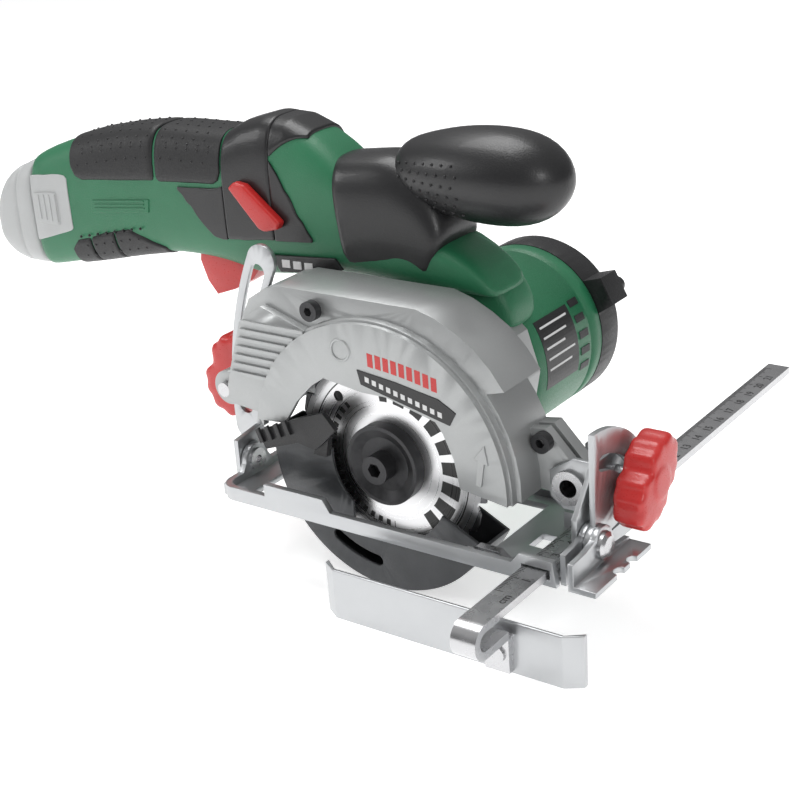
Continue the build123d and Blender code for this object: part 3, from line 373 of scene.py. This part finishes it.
# Shoulder that blends the barrel into the handle, swelling over the gear casting.
shoulder = [oval(x, lo, hi, y, half, 2.8, 40) for x, lo, hi, y, half in (
    (-0.036, 0.074, 0.080, 0.0450, 0.010), (-0.031, 0.064, 0.092, 0.0450, 0.0110),
    (-0.020, 0.060, 0.100, 0.0450, 0.0125),
    (-0.005, 0.060, 0.1000, 0.0460, 0.0135), (0.010, 0.060, 0.0965, 0.0460, 0.0135),
    (0.022, 0.060, 0.0890, 0.0460, 0.0120),
    (0.0300, 0.062, 0.0780, 0.0460, 0.0100), (0.0320, 0.066, 0.0720, 0.0460, 0.0080))]
saddle = piece("barrel_saddle", join_rings(shoulder), green, "saw", levels=1)

# ---- front knob -----------------------------------------------------------------------------
# Black pear-shaped knob on a waisted black neck, with a dotted patch moulded into its side.
knob = Vector((0.022, mid, 0.1215))
knob_line = ((-0.0139, 0.0010), (-0.0136, 0.0050), (-0.0122, 0.0086), (-0.0085, 0.0114),
             (-0.0030, 0.0134), (0.0040, 0.0152),
             (0.0120, 0.0169), (0.0210, 0.0179), (0.0300, 0.0181), (0.0380, 0.0175), (0.0450, 0.0158),
             (0.0510, 0.0124),
             (0.0550, 0.0080), (0.0572, 0.0035), (0.0574, 0.0010))
knob_rings = [[(x, mid + 1.0 * r * cos(2 * pi * i / 48),
                knob.z + r * 0.98 * sin(2 * pi * i / 48)) for i in range(48)]
              for x, r in knob_line]
satin = Finish("black satin moulding", (0.022, 0.022, 0.024), 0.36, 0.0, 0.1)
satin_spark = satin.grain(1800, detail=2)
satin.put("Base Color", satin.mix(satin.grain(40), (0.007, 0.007, 0.008), (0.015, 0.015, 0.016)))
satin.put("Roughness", satin.level(satin_spark, 0.30, 0.42))
satin.bump(satin_spark, 0.00008)
knob_piece = piece("front_knob_body", join_rings(knob_rings), satin, "saw", levels=1)
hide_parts("front_knob", "knob_pad")
sleeve = [oval(x, lo, hi, mid, half, 3.0, 48, tilt) for x, lo, hi, half, tilt in (
    (-0.0362, 0.0783, 0.1240, 0.0135, -0.0030), (-0.0360, 0.0778, 0.1250, 0.0156, -0.0030),
    (-0.0310, 0.0778, 0.1256, 0.0158, -0.0026), (-0.0240, 0.0778, 0.1265, 0.0157, -0.0022),
    (-0.0160, 0.0778, 0.1275, 0.0155, -0.0018), (-0.0110, 0.0780, 0.1270, 0.0152, -0.0010),
    (-0.0060, 0.0782, 0.1240, 0.0150, 0.0010), (-0.0010, 0.0784, 0.1190, 0.0149, 0.0030),
    (0.0030, 0.0786, 0.1110, 0.0148, 0.0050), (0.0060, 0.0790, 0.1030, 0.0147, 0.0050),
    (0.0064, 0.0800, 0.1000, 0.0135, 0.0050))]
neck = piece("knob_neck", join_rings(sleeve), satin, "saw", levels=1)

# ---- battery --------------------------------------------------------------------------------
# Pale grey case that plugs into the open end of the handle; a parting line runs round it and a
# ribbed release key sits in each side.
case_rings = [oval(x, lo, hi, mid, half, 3.2, 40) for x, lo, hi, half in (
    (-0.2349, 0.0720, 0.0850, 0.0090), (-0.2340, 0.0690, 0.0880, 0.0112), (-0.2310, 0.0655, 0.0945, 0.0128),
    (-0.2270, 0.0622, 0.1008, 0.0136), (-0.2210, 0.0608, 0.1046, 0.0139), (-0.2182, 0.0605, 0.1058, 0.0139),
    (-0.2178, 0.0612, 0.1052, 0.0132), (-0.2172, 0.0612, 0.1054, 0.0132), (-0.2168, 0.0604, 0.1063, 0.0139),
    (-0.2100, 0.0606, 0.1090, 0.0139), (-0.2078, 0.0612, 0.1094, 0.0134),
    (-0.2074, 0.0640, 0.1060, 0.0110))]
battery = piece("battery_case", join_rings(case_rings), grey, "battery", levels=1)
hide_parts("battery_pack")

# ---- grips and side panel -------------------------------------------------------------------
# Dotted elastomer pads sit a little proud of the shell: one over the top, split by a seam, and a
# three-part one under the handle. The smooth black panel carries the lock-off lever.
def section(x):
    """Low edge, high edge and half width of the handle at x."""
    for one, two in zip(stations, stations[1:]):
        if one[0] <= x <= two[0]:
            k = (x - one[0]) / (two[0] - one[0])
            return [p + (q - p) * k for p, q in zip(one[1:4], two[1:4])]
    return stations[0][1:4] if x < stations[0][0] else stations[-1][1:4]


def on_handle(x, angle, rise):
    """Point of the handle's surface, raised by rise. 90 is the top and 180 the near side."""
    low_z, high_z, half = section(x)
    c, s = cos(radians(angle)), sin(radians(angle))
    reach_y = (half + rise) * (abs(c) ** (2 / handle_power)) * (1 if c >= 0 else -1)
    reach_z = ((high_z - low_z) / 2 + rise) * (abs(s) ** (2 / handle_power)) * (1 if s >= 0 else -1)
    return (x, mid + reach_y, (low_z + high_z) / 2 + reach_z)


def near_angle(x, z):
    """Angle at which the near side of the handle has the height z."""
    low_z, high_z, half = section(x)
    k = max(-1.0, min(1.0, (2 * z - low_z - high_z) / (high_z - low_z)))
    return 180 - degrees(asin(abs(k) ** (handle_power / 2))) * (1 if k >= 0 else -1)


def pad(name, rows, rise, finish, across=26, along=6, body="saw"):
    """Curved pad on the handle; rows are (x, start angle, end angle)."""
    fine = []
    for one, two in zip(rows, rows[1:]):
        fine += [tuple(p + (q - p) * k / along for p, q in zip(one, two)) for k in range(along)]
    fine.append(rows[-1])
    mesh = bmesh.new()
    skins = []
    for up in (rise, -0.0012):
        skins.append([[mesh.verts.new(on_handle(x, t0 + (t1 - t0) * i / across,
                                                up)) for i in range(across + 1)]
                      for x, t0, t1 in fine])
    for skin in skins:
        for r0, r1 in zip(skin, skin[1:]):
            for i in range(across):
                mesh.faces.new((r0[i], r0[i + 1], r1[i + 1], r1[i]))
    rim = lambda s: ([r[0] for r in s] + s[-1][1:] + [r[-1] for r in s[-2::-1]] + s[0][-2:0:-1])
    top, base = rim(skins[0]), rim(skins[1])
    for i in range(len(top)):
        j = (i + 1) % len(top)
        mesh.faces.new((top[i], top[j], base[j], base[i]))
    bmesh.ops.recalc_face_normals(mesh, faces=mesh.faces)
    item = piece(name, mesh, finish, body, levels=1)
    return item


def near_rows(*rows):
    """Rows over the top, from the far side down to the height z on the near side."""
    return [(x, t0, near_angle(x, z)) for x, t0, z in rows]


top_a = pad("top_pad_rear", near_rows((-0.1782, 70, 0.1150), (-0.1775, 40, 0.1090), (-0.1755, 16, 0.1058),
                                      (-0.1720, 11, 0.1046),
                                      (-0.1500, 11, 0.1064), (-0.1290, 11, 0.1080)), 0.0010, soft)
pad("top_pad_front", near_rows((-0.1280, 11, 0.1080), (-0.1100, 11, 0.1092), (-0.0965, 11, 0.1100),
                               (-0.0938, 15, 0.1116),
                               (-0.0922, 24, 0.1150)), 0.0010, soft)
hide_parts("top_grip")
low_edges = (((-0.1840, 0.0735), (-0.1800, 0.0775), (-0.1722, 0.0793)),
             ((-0.1714, 0.0796), (-0.1640, 0.0822), (-0.1574, 0.0837)),
             ((-0.1566, 0.0840), (-0.1480, 0.0858), (-0.1400, 0.0830), (-0.1300, 0.0795)))
for i, edge in enumerate(low_edges):
    low_rows = [(x, near_angle(x, z), 540 - near_angle(x, z)) for x, z in edge]
    low_pad = pad(f"lower_pad_{i + 1}", low_rows, 0.0010, soft)
    if i == 0:
        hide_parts("lower_grip")


def near_band(*rows):
    """Rows of the near side alone, between two heights."""
    return [(x, near_angle(x, z1), near_angle(x, z0)) for x, z1, z0 in rows]


panel = pad("side_panel_rear", near_band((-0.1165, 0.1072, 0.1062), (-0.1090, 0.1076, 0.1000),
                                         (-0.1005, 0.1083, 0.0905),
                                         (-0.0985, 0.1084, 0.0888), (-0.0943, 0.1090, 0.0880),
                                         (-0.0915, 0.1100, 0.0882)),
            0.0007, satin)
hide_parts("side_panel")
pad("side_panel_middle", near_rows((-0.0916, 11, 0.0882), (-0.0850, 11, 0.0887), (-0.0760, 11, 0.0896),
                                   (-0.0668, 11, 0.0904)),
    0.0007, satin, across=48)
pad("side_panel_front", near_band((-0.0669, 0.1226, 0.0904), (-0.0600, 0.1118, 0.0911),
                                  (-0.0520, 0.0996, 0.0918), (-0.0480, 0.0932, 0.0922)),
    0.0007, satin)
pad("side_panel_top", near_rows((-0.0669, 11, 0.1230), (-0.0600, 16, 0.1286), (-0.0540, 24, 0.1310),
                                (-0.0500, 40, 0.1312)), 0.0007, satin)

# Each side of the battery case has a flat tongue in a notch of the housing, and a ribbed key in it.
def side_strip(name, rows, rise, finish, body, far):
    rows = near_band(*rows)
    if far:
        rows = [(x, 180 - a, 180 - b) for x, a, b in rows]
    return pad(name, rows, rise, finish, 14, 5, body)


for far, word in ((False, "near"), (True, "far")):
    side_strip(f"battery_tongue_{word}", ((-0.2140, 0.1026, 0.0720), (-0.2056, 0.1036, 0.0742),
                                          (-0.1960, 0.1048, 0.0770),
                                          (-0.1864, 0.1060, 0.0800), (-0.1830, 0.1058, 0.0812),
                                          (-0.1815, 0.1046, 0.0824)),
               0.0003, grey, "battery", far)
    key = side_strip(f"release_key_{word}", ((-0.2028, 0.0962, 0.0835), (-0.2000, 0.0967, 0.0833),
                                             (-0.1885, 0.0978, 0.0833)),
                     0.0009, grey, f"release_{word}", far)
    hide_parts(f"battery_button_{word}")
    for i in range(4):
        x = -0.2006 + 0.0034 * i
        side_strip(f"release_rib_{word}_{i + 1}",
                   ((x, 0.0955 + 0.0004 * i, 0.0848), (x + 0.0013, 0.0956 + 0.0004 * i, 0.0848)),
                   0.0013, grey, f"release_{word}", far)

# Small raised dots in staggered rows give the pads and the knob their grip.
dot_tree = bpy.data.node_groups.new("raised dots", "GeometryNodeTree")
dot_tree.interface.new_socket("Geometry", in_out="OUTPUT", socket_type="NodeSocketGeometry")
dot_tree.interface.new_socket("Spots", in_out="INPUT", socket_type="NodeSocketGeometry")
dot_tree.interface.new_socket("Radius", in_out="INPUT",
                              socket_type="NodeSocketFloat").default_value = 0.0006
dot_in = dot_tree.nodes.new("NodeGroupInput")
dot_ball = dot_tree.nodes.new("GeometryNodeMeshUVSphere")
dot_ball.inputs["Segments"].default_value = 12
dot_ball.inputs["Rings"].default_value = 8
dot_place = dot_tree.nodes.new("GeometryNodeInstanceOnPoints")
dot_real = dot_tree.nodes.new("GeometryNodeRealizeInstances")
dot_paint = dot_tree.nodes.new("GeometryNodeSetMaterial")
dot_paint.inputs["Material"].default_value = soft.material
dot_out = dot_tree.nodes.new("NodeGroupOutput")
for one, two in ((dot_in.outputs["Spots"], dot_place.inputs["Points"]),
                 (dot_in.outputs["Radius"], dot_ball.inputs["Radius"]),
                 (dot_ball.outputs["Mesh"], dot_place.inputs["Instance"]),
                 (dot_place.outputs[0], dot_real.inputs[0]),
                 (dot_real.outputs[0], dot_paint.inputs[0]), (dot_paint.outputs[0], dot_out.inputs[0])):
    dot_tree.links.new(one, two)


def dots(name, spots, body):
    """Dots at the given points."""
    seeds = bpy.data.meshes.new(name)
    seeds.from_pydata(spots, [], [])
    holder = bpy.data.objects.new(name + " seeds", seeds)
    bpy.context.scene.collection.objects.link(holder)
    holder.modifiers.new("dots", "NODES").node_group = dot_tree
    made = bpy.data.meshes.new_from_object(holder.evaluated_get(bpy.context.evaluated_depsgraph_get()))
    bpy.data.objects.remove(holder)
    made.materials.clear()
    made.materials.append(soft.material)
    for face in made.polygons:
        face.use_smooth = True
    item = bpy.data.objects.new(name, made)
    bpy.context.scene.collection.objects.link(item)
    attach(item, body)
    return item


def staggered(x0, x1, step, heights, backs, rise):
    """Rows of points over a pad, every other row shifted by half a step."""
    spots = []
    for row, (kind, value) in enumerate([("z", h) for h in heights] + [("y", b) for b in backs]):
        x = x0 + (step / 2 if row % 2 else 0)
        while x < x1:
            low_z, high_z, half = section(x)
            if kind == "z":
                angle = near_angle(x, (low_z + high_z) / 2 + value * (high_z - low_z) / 2)
            else:
                angle = degrees(acos(max(-1.0, min(1.0,
                                                   abs(value) ** (handle_power / 2) * (1 if value > 0 else -1)))))
            spots.append(on_handle(x, angle, rise))
            x += step
    return spots


top_heights, top_backs = (0.56, 0.72, 0.86), (-0.86, -0.62, -0.34, 0.0, 0.34, 0.62)
dots("top_dots", staggered(-0.1730, -0.1320, 0.0058, top_heights, top_backs, 0.0008)
     + staggered(-0.1240, -0.0960, 0.0058, top_heights, top_backs, 0.0008), "saw")
dots("lower_dots", staggered(-0.1770, -0.1400, 0.0052, (-0.52, -0.68, -0.84), (), 0.0008), "saw")
knob_spots = []
for row in range(6):
    for col in range(7):
        x = -0.0080 + 0.0044 * col + (0.0022 if row % 2 else 0)
        t = radians(158 + 13 * row)
        r = next(r0 + (r1 - r0) * (x - x0) / (x1 - x0) for (x0, r0),
                 (x1, r1) in zip(knob_line, knob_line[1:])
                 if x0 <= x <= x1) - 0.0001
        knob_spots.append((x, mid + r * cos(t), knob.z + 0.98 * r * sin(t)))
dots("knob_dots", knob_spots, "saw")

# ---- hard parts with softened edges ---------------------------------------------------------
# Castings, pressings and mouldings have no sharp corners: each edge is broken by a small radius.
def softened(node, width, finish, body, segments=2, angle=28):
    """Copy of a node's solid with its edges rounded."""
    mesh = bmesh.new()
    mesh.from_mesh(cad[node].data)
    bmesh.ops.remove_doubles(mesh, verts=mesh.verts, dist=0.00001)
    bmesh.ops.dissolve_limit(mesh, angle_limit=radians(0.6), verts=mesh.verts, edges=mesh.edges)
    item = piece(node + "_soft", mesh, finish, body, smooth=True)
    edge = item.modifiers.new("edge", "BEVEL")
    edge.width = width
    edge.segments = segments
    edge.limit_method = "ANGLE"
    edge.angle_limit = radians(angle)
    edge.harden_normals = True
    edge.use_clamp_overlap = True
    item.modifiers.new("faces", "TRIANGULATE")
    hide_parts(node)
    return item


owner = {node: body for body, group in frame["record"]["behaviour"]["bodies"].items() for node in group}
for node, width, finish, slot in (
        ("upper_guard", 0.0009, cast, "cast"), ("gear_housing", 0.0012, cast, "cast"),
        ("sole_plate", 0.0006, zinc, "zinc"), ("front_foot", 0.0005, zinc, "zinc"),
        ("bevel_quadrant", 0.0004, zinc, "zinc"), ("swivel_bracket", 0.0005, zinc, "zinc"),
        ("depth_strap", 0.0004, zinc, "zinc"), ("fence_plate", 0.0004, zinc, "zinc"),
        ("trigger", 0.0016, red, "red"),
        ("lock_off_lever", 0.0010, red, "red"), ("guard_lever", 0.0006, black, "black"),
        ("lower_guard", 0.0003, dark_cast, "darkcast"), ("end_cap", 0.0008, black, "black"),
        ("bar_clamp_screw", 0.0006, black_steel, "black")):
    softened(node, width, finish, owner[node])

# ---- raised and printed details -------------------------------------------------------------
# The casting carries a raised ring, an arrow and a slanted dark plate; a row of red blocks is printed over
# the plate. The housing has a charge gauge, a recessed slot panel and a plain type plate.
def slab(name, outline, y0, y1, finish, body, edge=0.0003):
    """Flat piece with an (x, z) outline in metres, between two depths."""
    mesh = bmesh.new()
    front = [mesh.verts.new((x, y0, z)) for x, z in outline]
    back = [mesh.verts.new((x, y1, z)) for x, z in outline]
    mesh.faces.new(front)
    mesh.faces.new(back[::-1])
    for i in range(len(front)):
        j = (i + 1) % len(front)
        mesh.faces.new((front[i], front[j], back[j], back[i]))
    bmesh.ops.recalc_face_normals(mesh, faces=mesh.faces)
    item = piece(name, mesh, finish, body, smooth=False)
    bevel = item.modifiers.new("edge", "BEVEL")
    bevel.width = edge
    bevel.segments = 2
    return item


face_y = -0.0095
plate_black = slab("guard_plate", [(-0.0050, 0.0592), (-0.0036, 0.0537), (0.0343, 0.0448),
                                   (0.0372, 0.0500), (0.0300, 0.0540), (0.0120, 0.0572)], face_y - 0.0003,
                   face_y + 0.0002, satin, "saw", 0.0001)
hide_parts("label_plate")
for i in range(9):
    x = 0.0000 + 0.0034 * i
    z = 0.0600 - 0.00023 * i * (1 + 0.18 * i)
    slab(f"red_block_{i + 1}", [(x, z + 0.0012), (x, z + 0.0064), (x + 0.0024, z + 0.0060),
                                (x + 0.0024, z + 0.0008)],
         face_y - 0.00008, face_y + 0.0002, red, "saw", 0.00002)
pale = Finish("pale print", (0.7, 0.7, 0.7), 0.5)
pale.put("Roughness", pale.level(pale.grain(800), 0.45, 0.6))
for i in range(11):
    x = -0.0015 + 0.0031 * i
    z = 0.0552 - 0.00077 * i
    slab(f"plate_tick_{i + 1}", [(x, z), (x, z + 0.0020), (x + 0.0018, z + 0.0016),
                                 (x + 0.0018, z - 0.0004)],
         face_y - 0.00036, face_y, pale, "saw", 0.00002)
ring_mid = Vector((-0.0121, 0, 0.0655))
ring_rows = []
for dy, r in ((0.0, 0.0046), (-0.0005, 0.0044), (-0.0005, 0.0036), (0.0, 0.0034)):
    ring_rows.append([(ring_mid.x + r * cos(2 * pi * i / 40), face_y + 0.0001 + dy,
                       ring_mid.z + r * sin(2 * pi * i / 40))
                      for i in range(40)])
ring_rows.append(ring_rows[0])
raised = piece("raised_ring", join_rings(ring_rows, False), cast, "saw")
slab("raised_arrow", [(0.0440, 0.0240), (0.0464, 0.0238), (0.0480, 0.0330), (0.0496, 0.0326),
                      (0.0482, 0.0400), (0.0436, 0.0342),
                      (0.0454, 0.0338)], face_y - 0.0006, face_y + 0.0002, cast, "saw")
near_y = mid - 0.0152
slab("slot_panel", [(-0.1676, 0.0966), (-0.1336, 0.1001), (-0.1346, 0.0944), (-0.1688, 0.0908)],
     near_y + 0.0004, near_y + 0.0016,
     green, "saw", 0.0003)
for i in range(3):
    shift_z = 0.0016 * i
    slab(f"slot_line_{i + 1}", [(-0.1660, 0.0927 + shift_z), (-0.1365, 0.0957 + shift_z),
                                (-0.1365, 0.0963 + shift_z),
                                (-0.1660, 0.0933 + shift_z)], near_y + 0.0001, near_y + 0.0010, green,
                                "saw", 0.0001)
gauge = slab("gauge_face", [(-0.0700, 0.0845), (-0.0380, 0.0868), (-0.0345, 0.0826), (-0.0380, 0.0806),
                            (-0.0655, 0.0780)], near_y - 0.0001,
             near_y + 0.0014, satin, "saw", 0.0004)
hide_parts("gauge_window")
for i in range(3):
    x = -0.0640 + 0.0056 * i
    slab(f"gauge_bar_{i + 1}", [(x, 0.0802), (x + 0.0040, 0.0804), (x + 0.0040, 0.0836), (x, 0.0834)],
         near_y - 0.0004, near_y + 0.0002,
         pale, "saw", 0.0001)

# Type plate and cooling slots on the motor barrel: curved patches that follow its surface. The slots are black
# patches, painted shade standing for the openings.
def on_barrel(name, y0, y1, a0, a1, finish, rise=0.00012, rows=16):
    mesh = bmesh.new()
    skins = []
    for up in (rise, -0.0006):
        skins.append([[mesh.verts.new((motor.x + (barrel_radius + up) * cos(radians(a0 + (a1 - a0) * i / rows)), y,
                                       motor.z + (barrel_radius + up) * sin(radians(a0 + (a1 - a0) * i / rows))))
                       for i in range(rows + 1)] for y in (y0, y1)])
    top, base = skins
    for skin in skins:
        for i in range(rows):
            mesh.faces.new((skin[0][i], skin[0][i + 1], skin[1][i + 1], skin[1][i]))
    loop = lambda q: q[0] + q[1][::-1]
    t, b = loop(top), loop(base)
    for i in range(len(t)):
        j = (i + 1) % len(t)
        mesh.faces.new((t[i], t[j], b[j], b[i]))
    bmesh.ops.recalc_face_normals(mesh, faces=mesh.faces)
    item = piece(name, mesh, finish, "saw", smooth=False)
    return item


on_barrel("type_plate", 0.0540, 0.0780, -12, 34, satin)
for i in range(5):
    on_barrel(f"type_line_{i + 1}", 0.0560, 0.0755 - 0.003 * (i % 3), 28 - 7 * i, 29.4 - 7 * i, pale,
              0.0002, 4)
# Black patches for the cooling slots: painted shade where the openings would look dark.
for i in range(5):
    on_barrel(f"cooling_slot_shade_{i + 1}", 0.0800, 0.0865, 30 - 11 * i, 35 - 11 * i, black, 0.00015, 6)

# Stem of the battery, which goes into the handle, and the port that takes it, filled by a black slab: painted
# shade in the narrow joint between battery and handle.
def flat_end(name, x0, x1, half, z0, z1, finish, body):
    return slab(name, [(x0, z0), (x1, z0 + 0.001), (x1, z1 - 0.001), (x0, z1)], mid - half, mid + half,
                finish, body, 0.0008)


flat_end("battery_stem", -0.2085, -0.1900, 0.0098, 0.0700, 0.0970, grey, "battery")
# Black slab at the handle's open end: painted shade in the gap round the battery stem.
flat_end("battery_port_shade", -0.20705, -0.2050, 0.0108, 0.0690, 0.0980, satin, "saw")

# ---- wing knobs -----------------------------------------------------------------------------
# Red moulded wings with a scalloped outline and a raised hub, screwed on the two clamp bolts.
def wing_knob(name, node, centre, ahead, sideways, long_dir, thick, long_half, wide_half, body):
    """Scalloped wing: thickness along ahead, its long direction turned by long_dir degrees."""
    rings = []
    for depth, shrink in ((0.0, 0.84), (0.06, 0.95), (0.16, 1.0), (0.5, 0.985), (0.84, 1.0), (0.94, 0.95),
                          (1.0, 0.82),
                          (1.0, 0.45), (1.06, 0.40), (1.08, 0.30)):
        ring = []
        for i in range(96):
            t = 2 * pi * i / 96
            body_r = 1 / sqrt((cos(t) / long_half) ** 2 + (sin(t) / wide_half) ** 2)
            notch = 1 - 0.24 * max(0.0,
                                   cos(2 * t + pi)) ** 6 - 0.035 * (1 + cos(14 * t)) * abs(cos(t)) ** 0.5
            r = body_r * notch * shrink if shrink > 0.5 else wide_half * shrink * 1.3
            u = r * cos(t + radians(long_dir))
            v = r * sin(t + radians(long_dir))
            ring.append(tuple(centre + ahead * (thick * min(depth, 1.0) + max(0.0, depth - 1) * 0.01)
                              + sideways * u + Vector((0, 0, 1)) * v))
        rings.append(ring)
    item = piece(name, join_rings(rings), red, body, levels=1)
    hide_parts(node)
    return item


low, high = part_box("front_wing_knob")
wing_knob("front_wing", "front_wing_knob", Vector((low.x, (low.y + high.y) / 2, (low.z + high.z) / 2)),
          Vector((1, 0, 0)),
          Vector((0, 1, 0)), 48, 0.0125, 0.0185, 0.0112, "front_wing")
low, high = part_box("rear_wing_knob")
wing_knob("rear_wing", "rear_wing_knob", Vector(((low.x + high.x) / 2, low.y, (low.z + high.z) / 2)),
          Vector((0, 1, 0)),
          Vector((1, 0, 0)), 66, 0.0140, 0.0195, 0.0150, "rear_wing")

# ---- guide scale ----------------------------------------------------------------------------
# The bar is printed in black with millimetre marks along one edge and centimetre figures.
ink_black = Finish("black print", (0.015, 0.015, 0.016), 0.5)
ink_black.put("Roughness", ink_black.level(ink_black.grain(900), 0.42, 0.58))
bar_low, bar_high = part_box("guide_bar")
zero = -0.0415
tree = bpy.data.node_groups.new("scale marks", "GeometryNodeTree")
tree.interface.new_socket("Geometry", in_out="OUTPUT", socket_type="NodeSocketGeometry")
for label, value in (("Step", 0.001), ("Width", 0.00022), ("Short", 0.0016), ("Middle", 0.0024),
                     ("Long", 0.0034)):
    tree.interface.new_socket(label, in_out="INPUT", socket_type="NodeSocketFloat").default_value = value


def join(a, b):
    tree.links.new(a, b)


def gadget(kind, **settings):
    node = tree.nodes.new(kind)
    for key, value in settings.items():
        setattr(node, key, value)
    return node


given = gadget("NodeGroupInput")
line = gadget("GeometryNodeMeshLine")
line.inputs["Count"].default_value = 221
spacing = gadget("ShaderNodeCombineXYZ")
join(given.outputs["Step"], spacing.inputs["Y"])
join(spacing.outputs[0], line.inputs["Offset"])
line.inputs["Start Location"].default_value = (bar_low.x + 0.0002, zero, bar_high.z + 0.00003)
index = gadget("GeometryNodeInputIndex")
picks = []
for every in (5.0, 10.0):
    rest = gadget("ShaderNodeMath", operation="MODULO")
    join(index.outputs[0], rest.inputs[0])
    rest.inputs[1].default_value = every
    test = gadget("ShaderNodeMath", operation="LESS_THAN")
    join(rest.outputs[0], test.inputs[0])
    test.inputs[1].default_value = 0.5
    picks.append(test)
length = given.outputs["Short"]
for pick, longer in zip(picks, ("Middle", "Long")):
    choose = gadget("GeometryNodeSwitch", input_type="FLOAT")
    join(pick.outputs[0], choose.inputs["Switch"])
    join(length, choose.inputs["False"])
    join(given.outputs[longer], choose.inputs["True"])
    length = choose.outputs[0]
bar_mark = gadget("GeometryNodeMeshCube")
bar_mark.inputs["Size"].default_value = (1.0, 1.0, 0.00004)
size = gadget("ShaderNodeCombineXYZ")
join(length, size.inputs["X"])
join(given.outputs["Width"], size.inputs["Y"])
size.inputs["Z"].default_value = 1.0
shift = gadget("GeometryNodeTransform")
shift.inputs["Translation"].default_value = (0.5, 0, 0)
join(bar_mark.outputs["Mesh"], shift.inputs["Geometry"])
copies = gadget("GeometryNodeInstanceOnPoints")
join(line.outputs[0], copies.inputs["Points"])
join(shift.outputs[0], copies.inputs["Instance"])
join(size.outputs[0], copies.inputs["Scale"])
real = gadget("GeometryNodeRealizeInstances")
join(copies.outputs[0], real.inputs[0])
paint = gadget("GeometryNodeSetMaterial")
paint.inputs["Material"].default_value = ink_black.material
join(real.outputs[0], paint.inputs[0])
given_out = gadget("NodeGroupOutput")
join(paint.outputs[0], given_out.inputs[0])
blank = bpy.data.objects.new("marks maker", bpy.data.meshes.new("marks maker"))
bpy.context.scene.collection.objects.link(blank)
maker = blank.modifiers.new("marks", "NODES")
maker.node_group = tree
marks_mesh = bpy.data.meshes.new_from_object(blank.evaluated_get(bpy.context.evaluated_depsgraph_get()))
bpy.data.objects.remove(blank)
marks_mesh.materials.clear()
marks_mesh.materials.append(ink_black.material)
marks = bpy.data.objects.new("scale_marks", marks_mesh)
bpy.context.scene.collection.objects.link(marks)
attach(marks, "guide")


def figure(name, words, place, across_dir, up_dir, tall, finish, body, depth=0.00004):
    """Flat lettering made a mesh and set on a surface."""
    curve = bpy.data.curves.new(name, "FONT")
    curve.body = words
    curve.size = tall * 1.4
    curve.align_x = "CENTER"
    curve.align_y = "CENTER"
    curve.extrude = depth / 2
    maker = bpy.data.objects.new(name, curve)
    bpy.context.scene.collection.objects.link(maker)
    flat = bpy.data.meshes.new_from_object(maker.evaluated_get(bpy.context.evaluated_depsgraph_get()))
    bpy.data.objects.remove(maker)
    normal = across_dir.cross(up_dir)
    turn_to = Matrix((across_dir, up_dir, normal)).transposed().to_4x4()
    flat.transform(Matrix.Translation(place) @ turn_to)
    flat.materials.clear()
    flat.materials.append(finish.material)
    item = bpy.data.objects.new(name, flat)
    bpy.context.scene.collection.objects.link(item)
    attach(item, body)
    return item


for n in range(0, 22):
    words = "cm" if n == 0 else str(n)
    y = zero + (0.010 * n if n else -0.004)
    figure(f"figure_{n}", words, Vector((bar_low.x + 0.0066, y, bar_high.z + 0.00003)), Vector((0, 1, 0)),
           Vector((-1, 0, 0)), 0.0034, ink_black, "guide")

# ---- studio ---------------------------------------------------------------------------------
# A white sweep under the saw, one large soft light above and two weaker ones at the sides.
low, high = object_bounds()
floor_mesh = bpy.data.meshes.new("floor")
floor_mesh.from_pydata([(-6, -6, low.z), (6, -6, low.z), (6, 6, low.z), (-6, 6, low.z)], [], [(0, 1, 2, 3)])
floor = bpy.data.objects.new("floor", floor_mesh)
bpy.context.scene.collection.objects.link(floor)
paper = Finish("white paper", (0.9, 0.9, 0.9), 0.9)
paper.put("Emission Color", (1, 1, 1, 1))
paper.put("Emission Strength", 0.55)
floor_mesh.materials.append(paper.material)


def lamp(name, place, aim, size, power):
    data = bpy.data.lights.new(name, "AREA")
    data.size = size
    data.energy = power
    light = bpy.data.objects.new(name, data)
    light.location = place
    light.rotation_euler = (Vector(aim) - Vector(place)).to_track_quat("-Z", "Y").to_euler()
    bpy.context.scene.collection.objects.link(light)


lamp("top light", (-0.30, 0.10, 1.1), (-0.05, 0.0, 0.05), 0.7, 9)
lamp("left light", (-1.1, -0.7, 0.6), (-0.05, 0.0, 0.06), 0.4, 3)
lamp("right light", (0.9, -0.5, 0.5), (0.0, 0.0, 0.05), 0.3, 2)
world = bpy.data.worlds.new("studio air")
world.use_nodes = True
sky = world.node_tree.nodes
backdrop = sky["Background"]
heading = sky.new("ShaderNodeTexCoord")
parts = sky.new("ShaderNodeSeparateXYZ")
ramp = sky.new("ShaderNodeValToRGB")
world.node_tree.links.new(heading.outputs["Generated"], parts.inputs[0])
world.node_tree.links.new(parts.outputs["Z"], ramp.inputs["Fac"])
world.node_tree.links.new(ramp.outputs["Color"], backdrop.inputs["Color"])
ramp.color_ramp.elements[0].position = 0.02
ramp.color_ramp.elements[0].color = (0.30, 0.30, 0.31, 1)
ramp.color_ramp.elements[1].position = 0.75
ramp.color_ramp.elements[1].color = (1, 1, 1, 1)
backdrop.inputs["Strength"].default_value = 0.5
bpy.context.scene.world = world
bpy.context.scene.view_settings.view_transform = "Standard"

lens = bpy.data.cameras.new("camera")
lens.sensor_width = 36.0
lens.lens = 1553.38 / 800 * 36.0
lens.clip_start = 0.01
camera = bpy.data.objects.new("camera", lens)
a, e, roll = radians(36.956), radians(22.402), radians(-4.160)
side = Vector((cos(a), sin(a), 0))
ahead = Vector((-sin(a) * cos(e), cos(a) * cos(e), -sin(e)))
up = side.cross(ahead)
across = side * cos(roll) + up * sin(roll)
above = side * -sin(roll) + up * cos(roll)
facing = Matrix((across, above, -ahead)).transposed().to_4x4()
camera.matrix_world = Matrix.Translation((0.31938, -0.41622, 0.26055)) @ facing
bpy.context.scene.collection.objects.link(camera)
bpy.context.scene.camera = camera
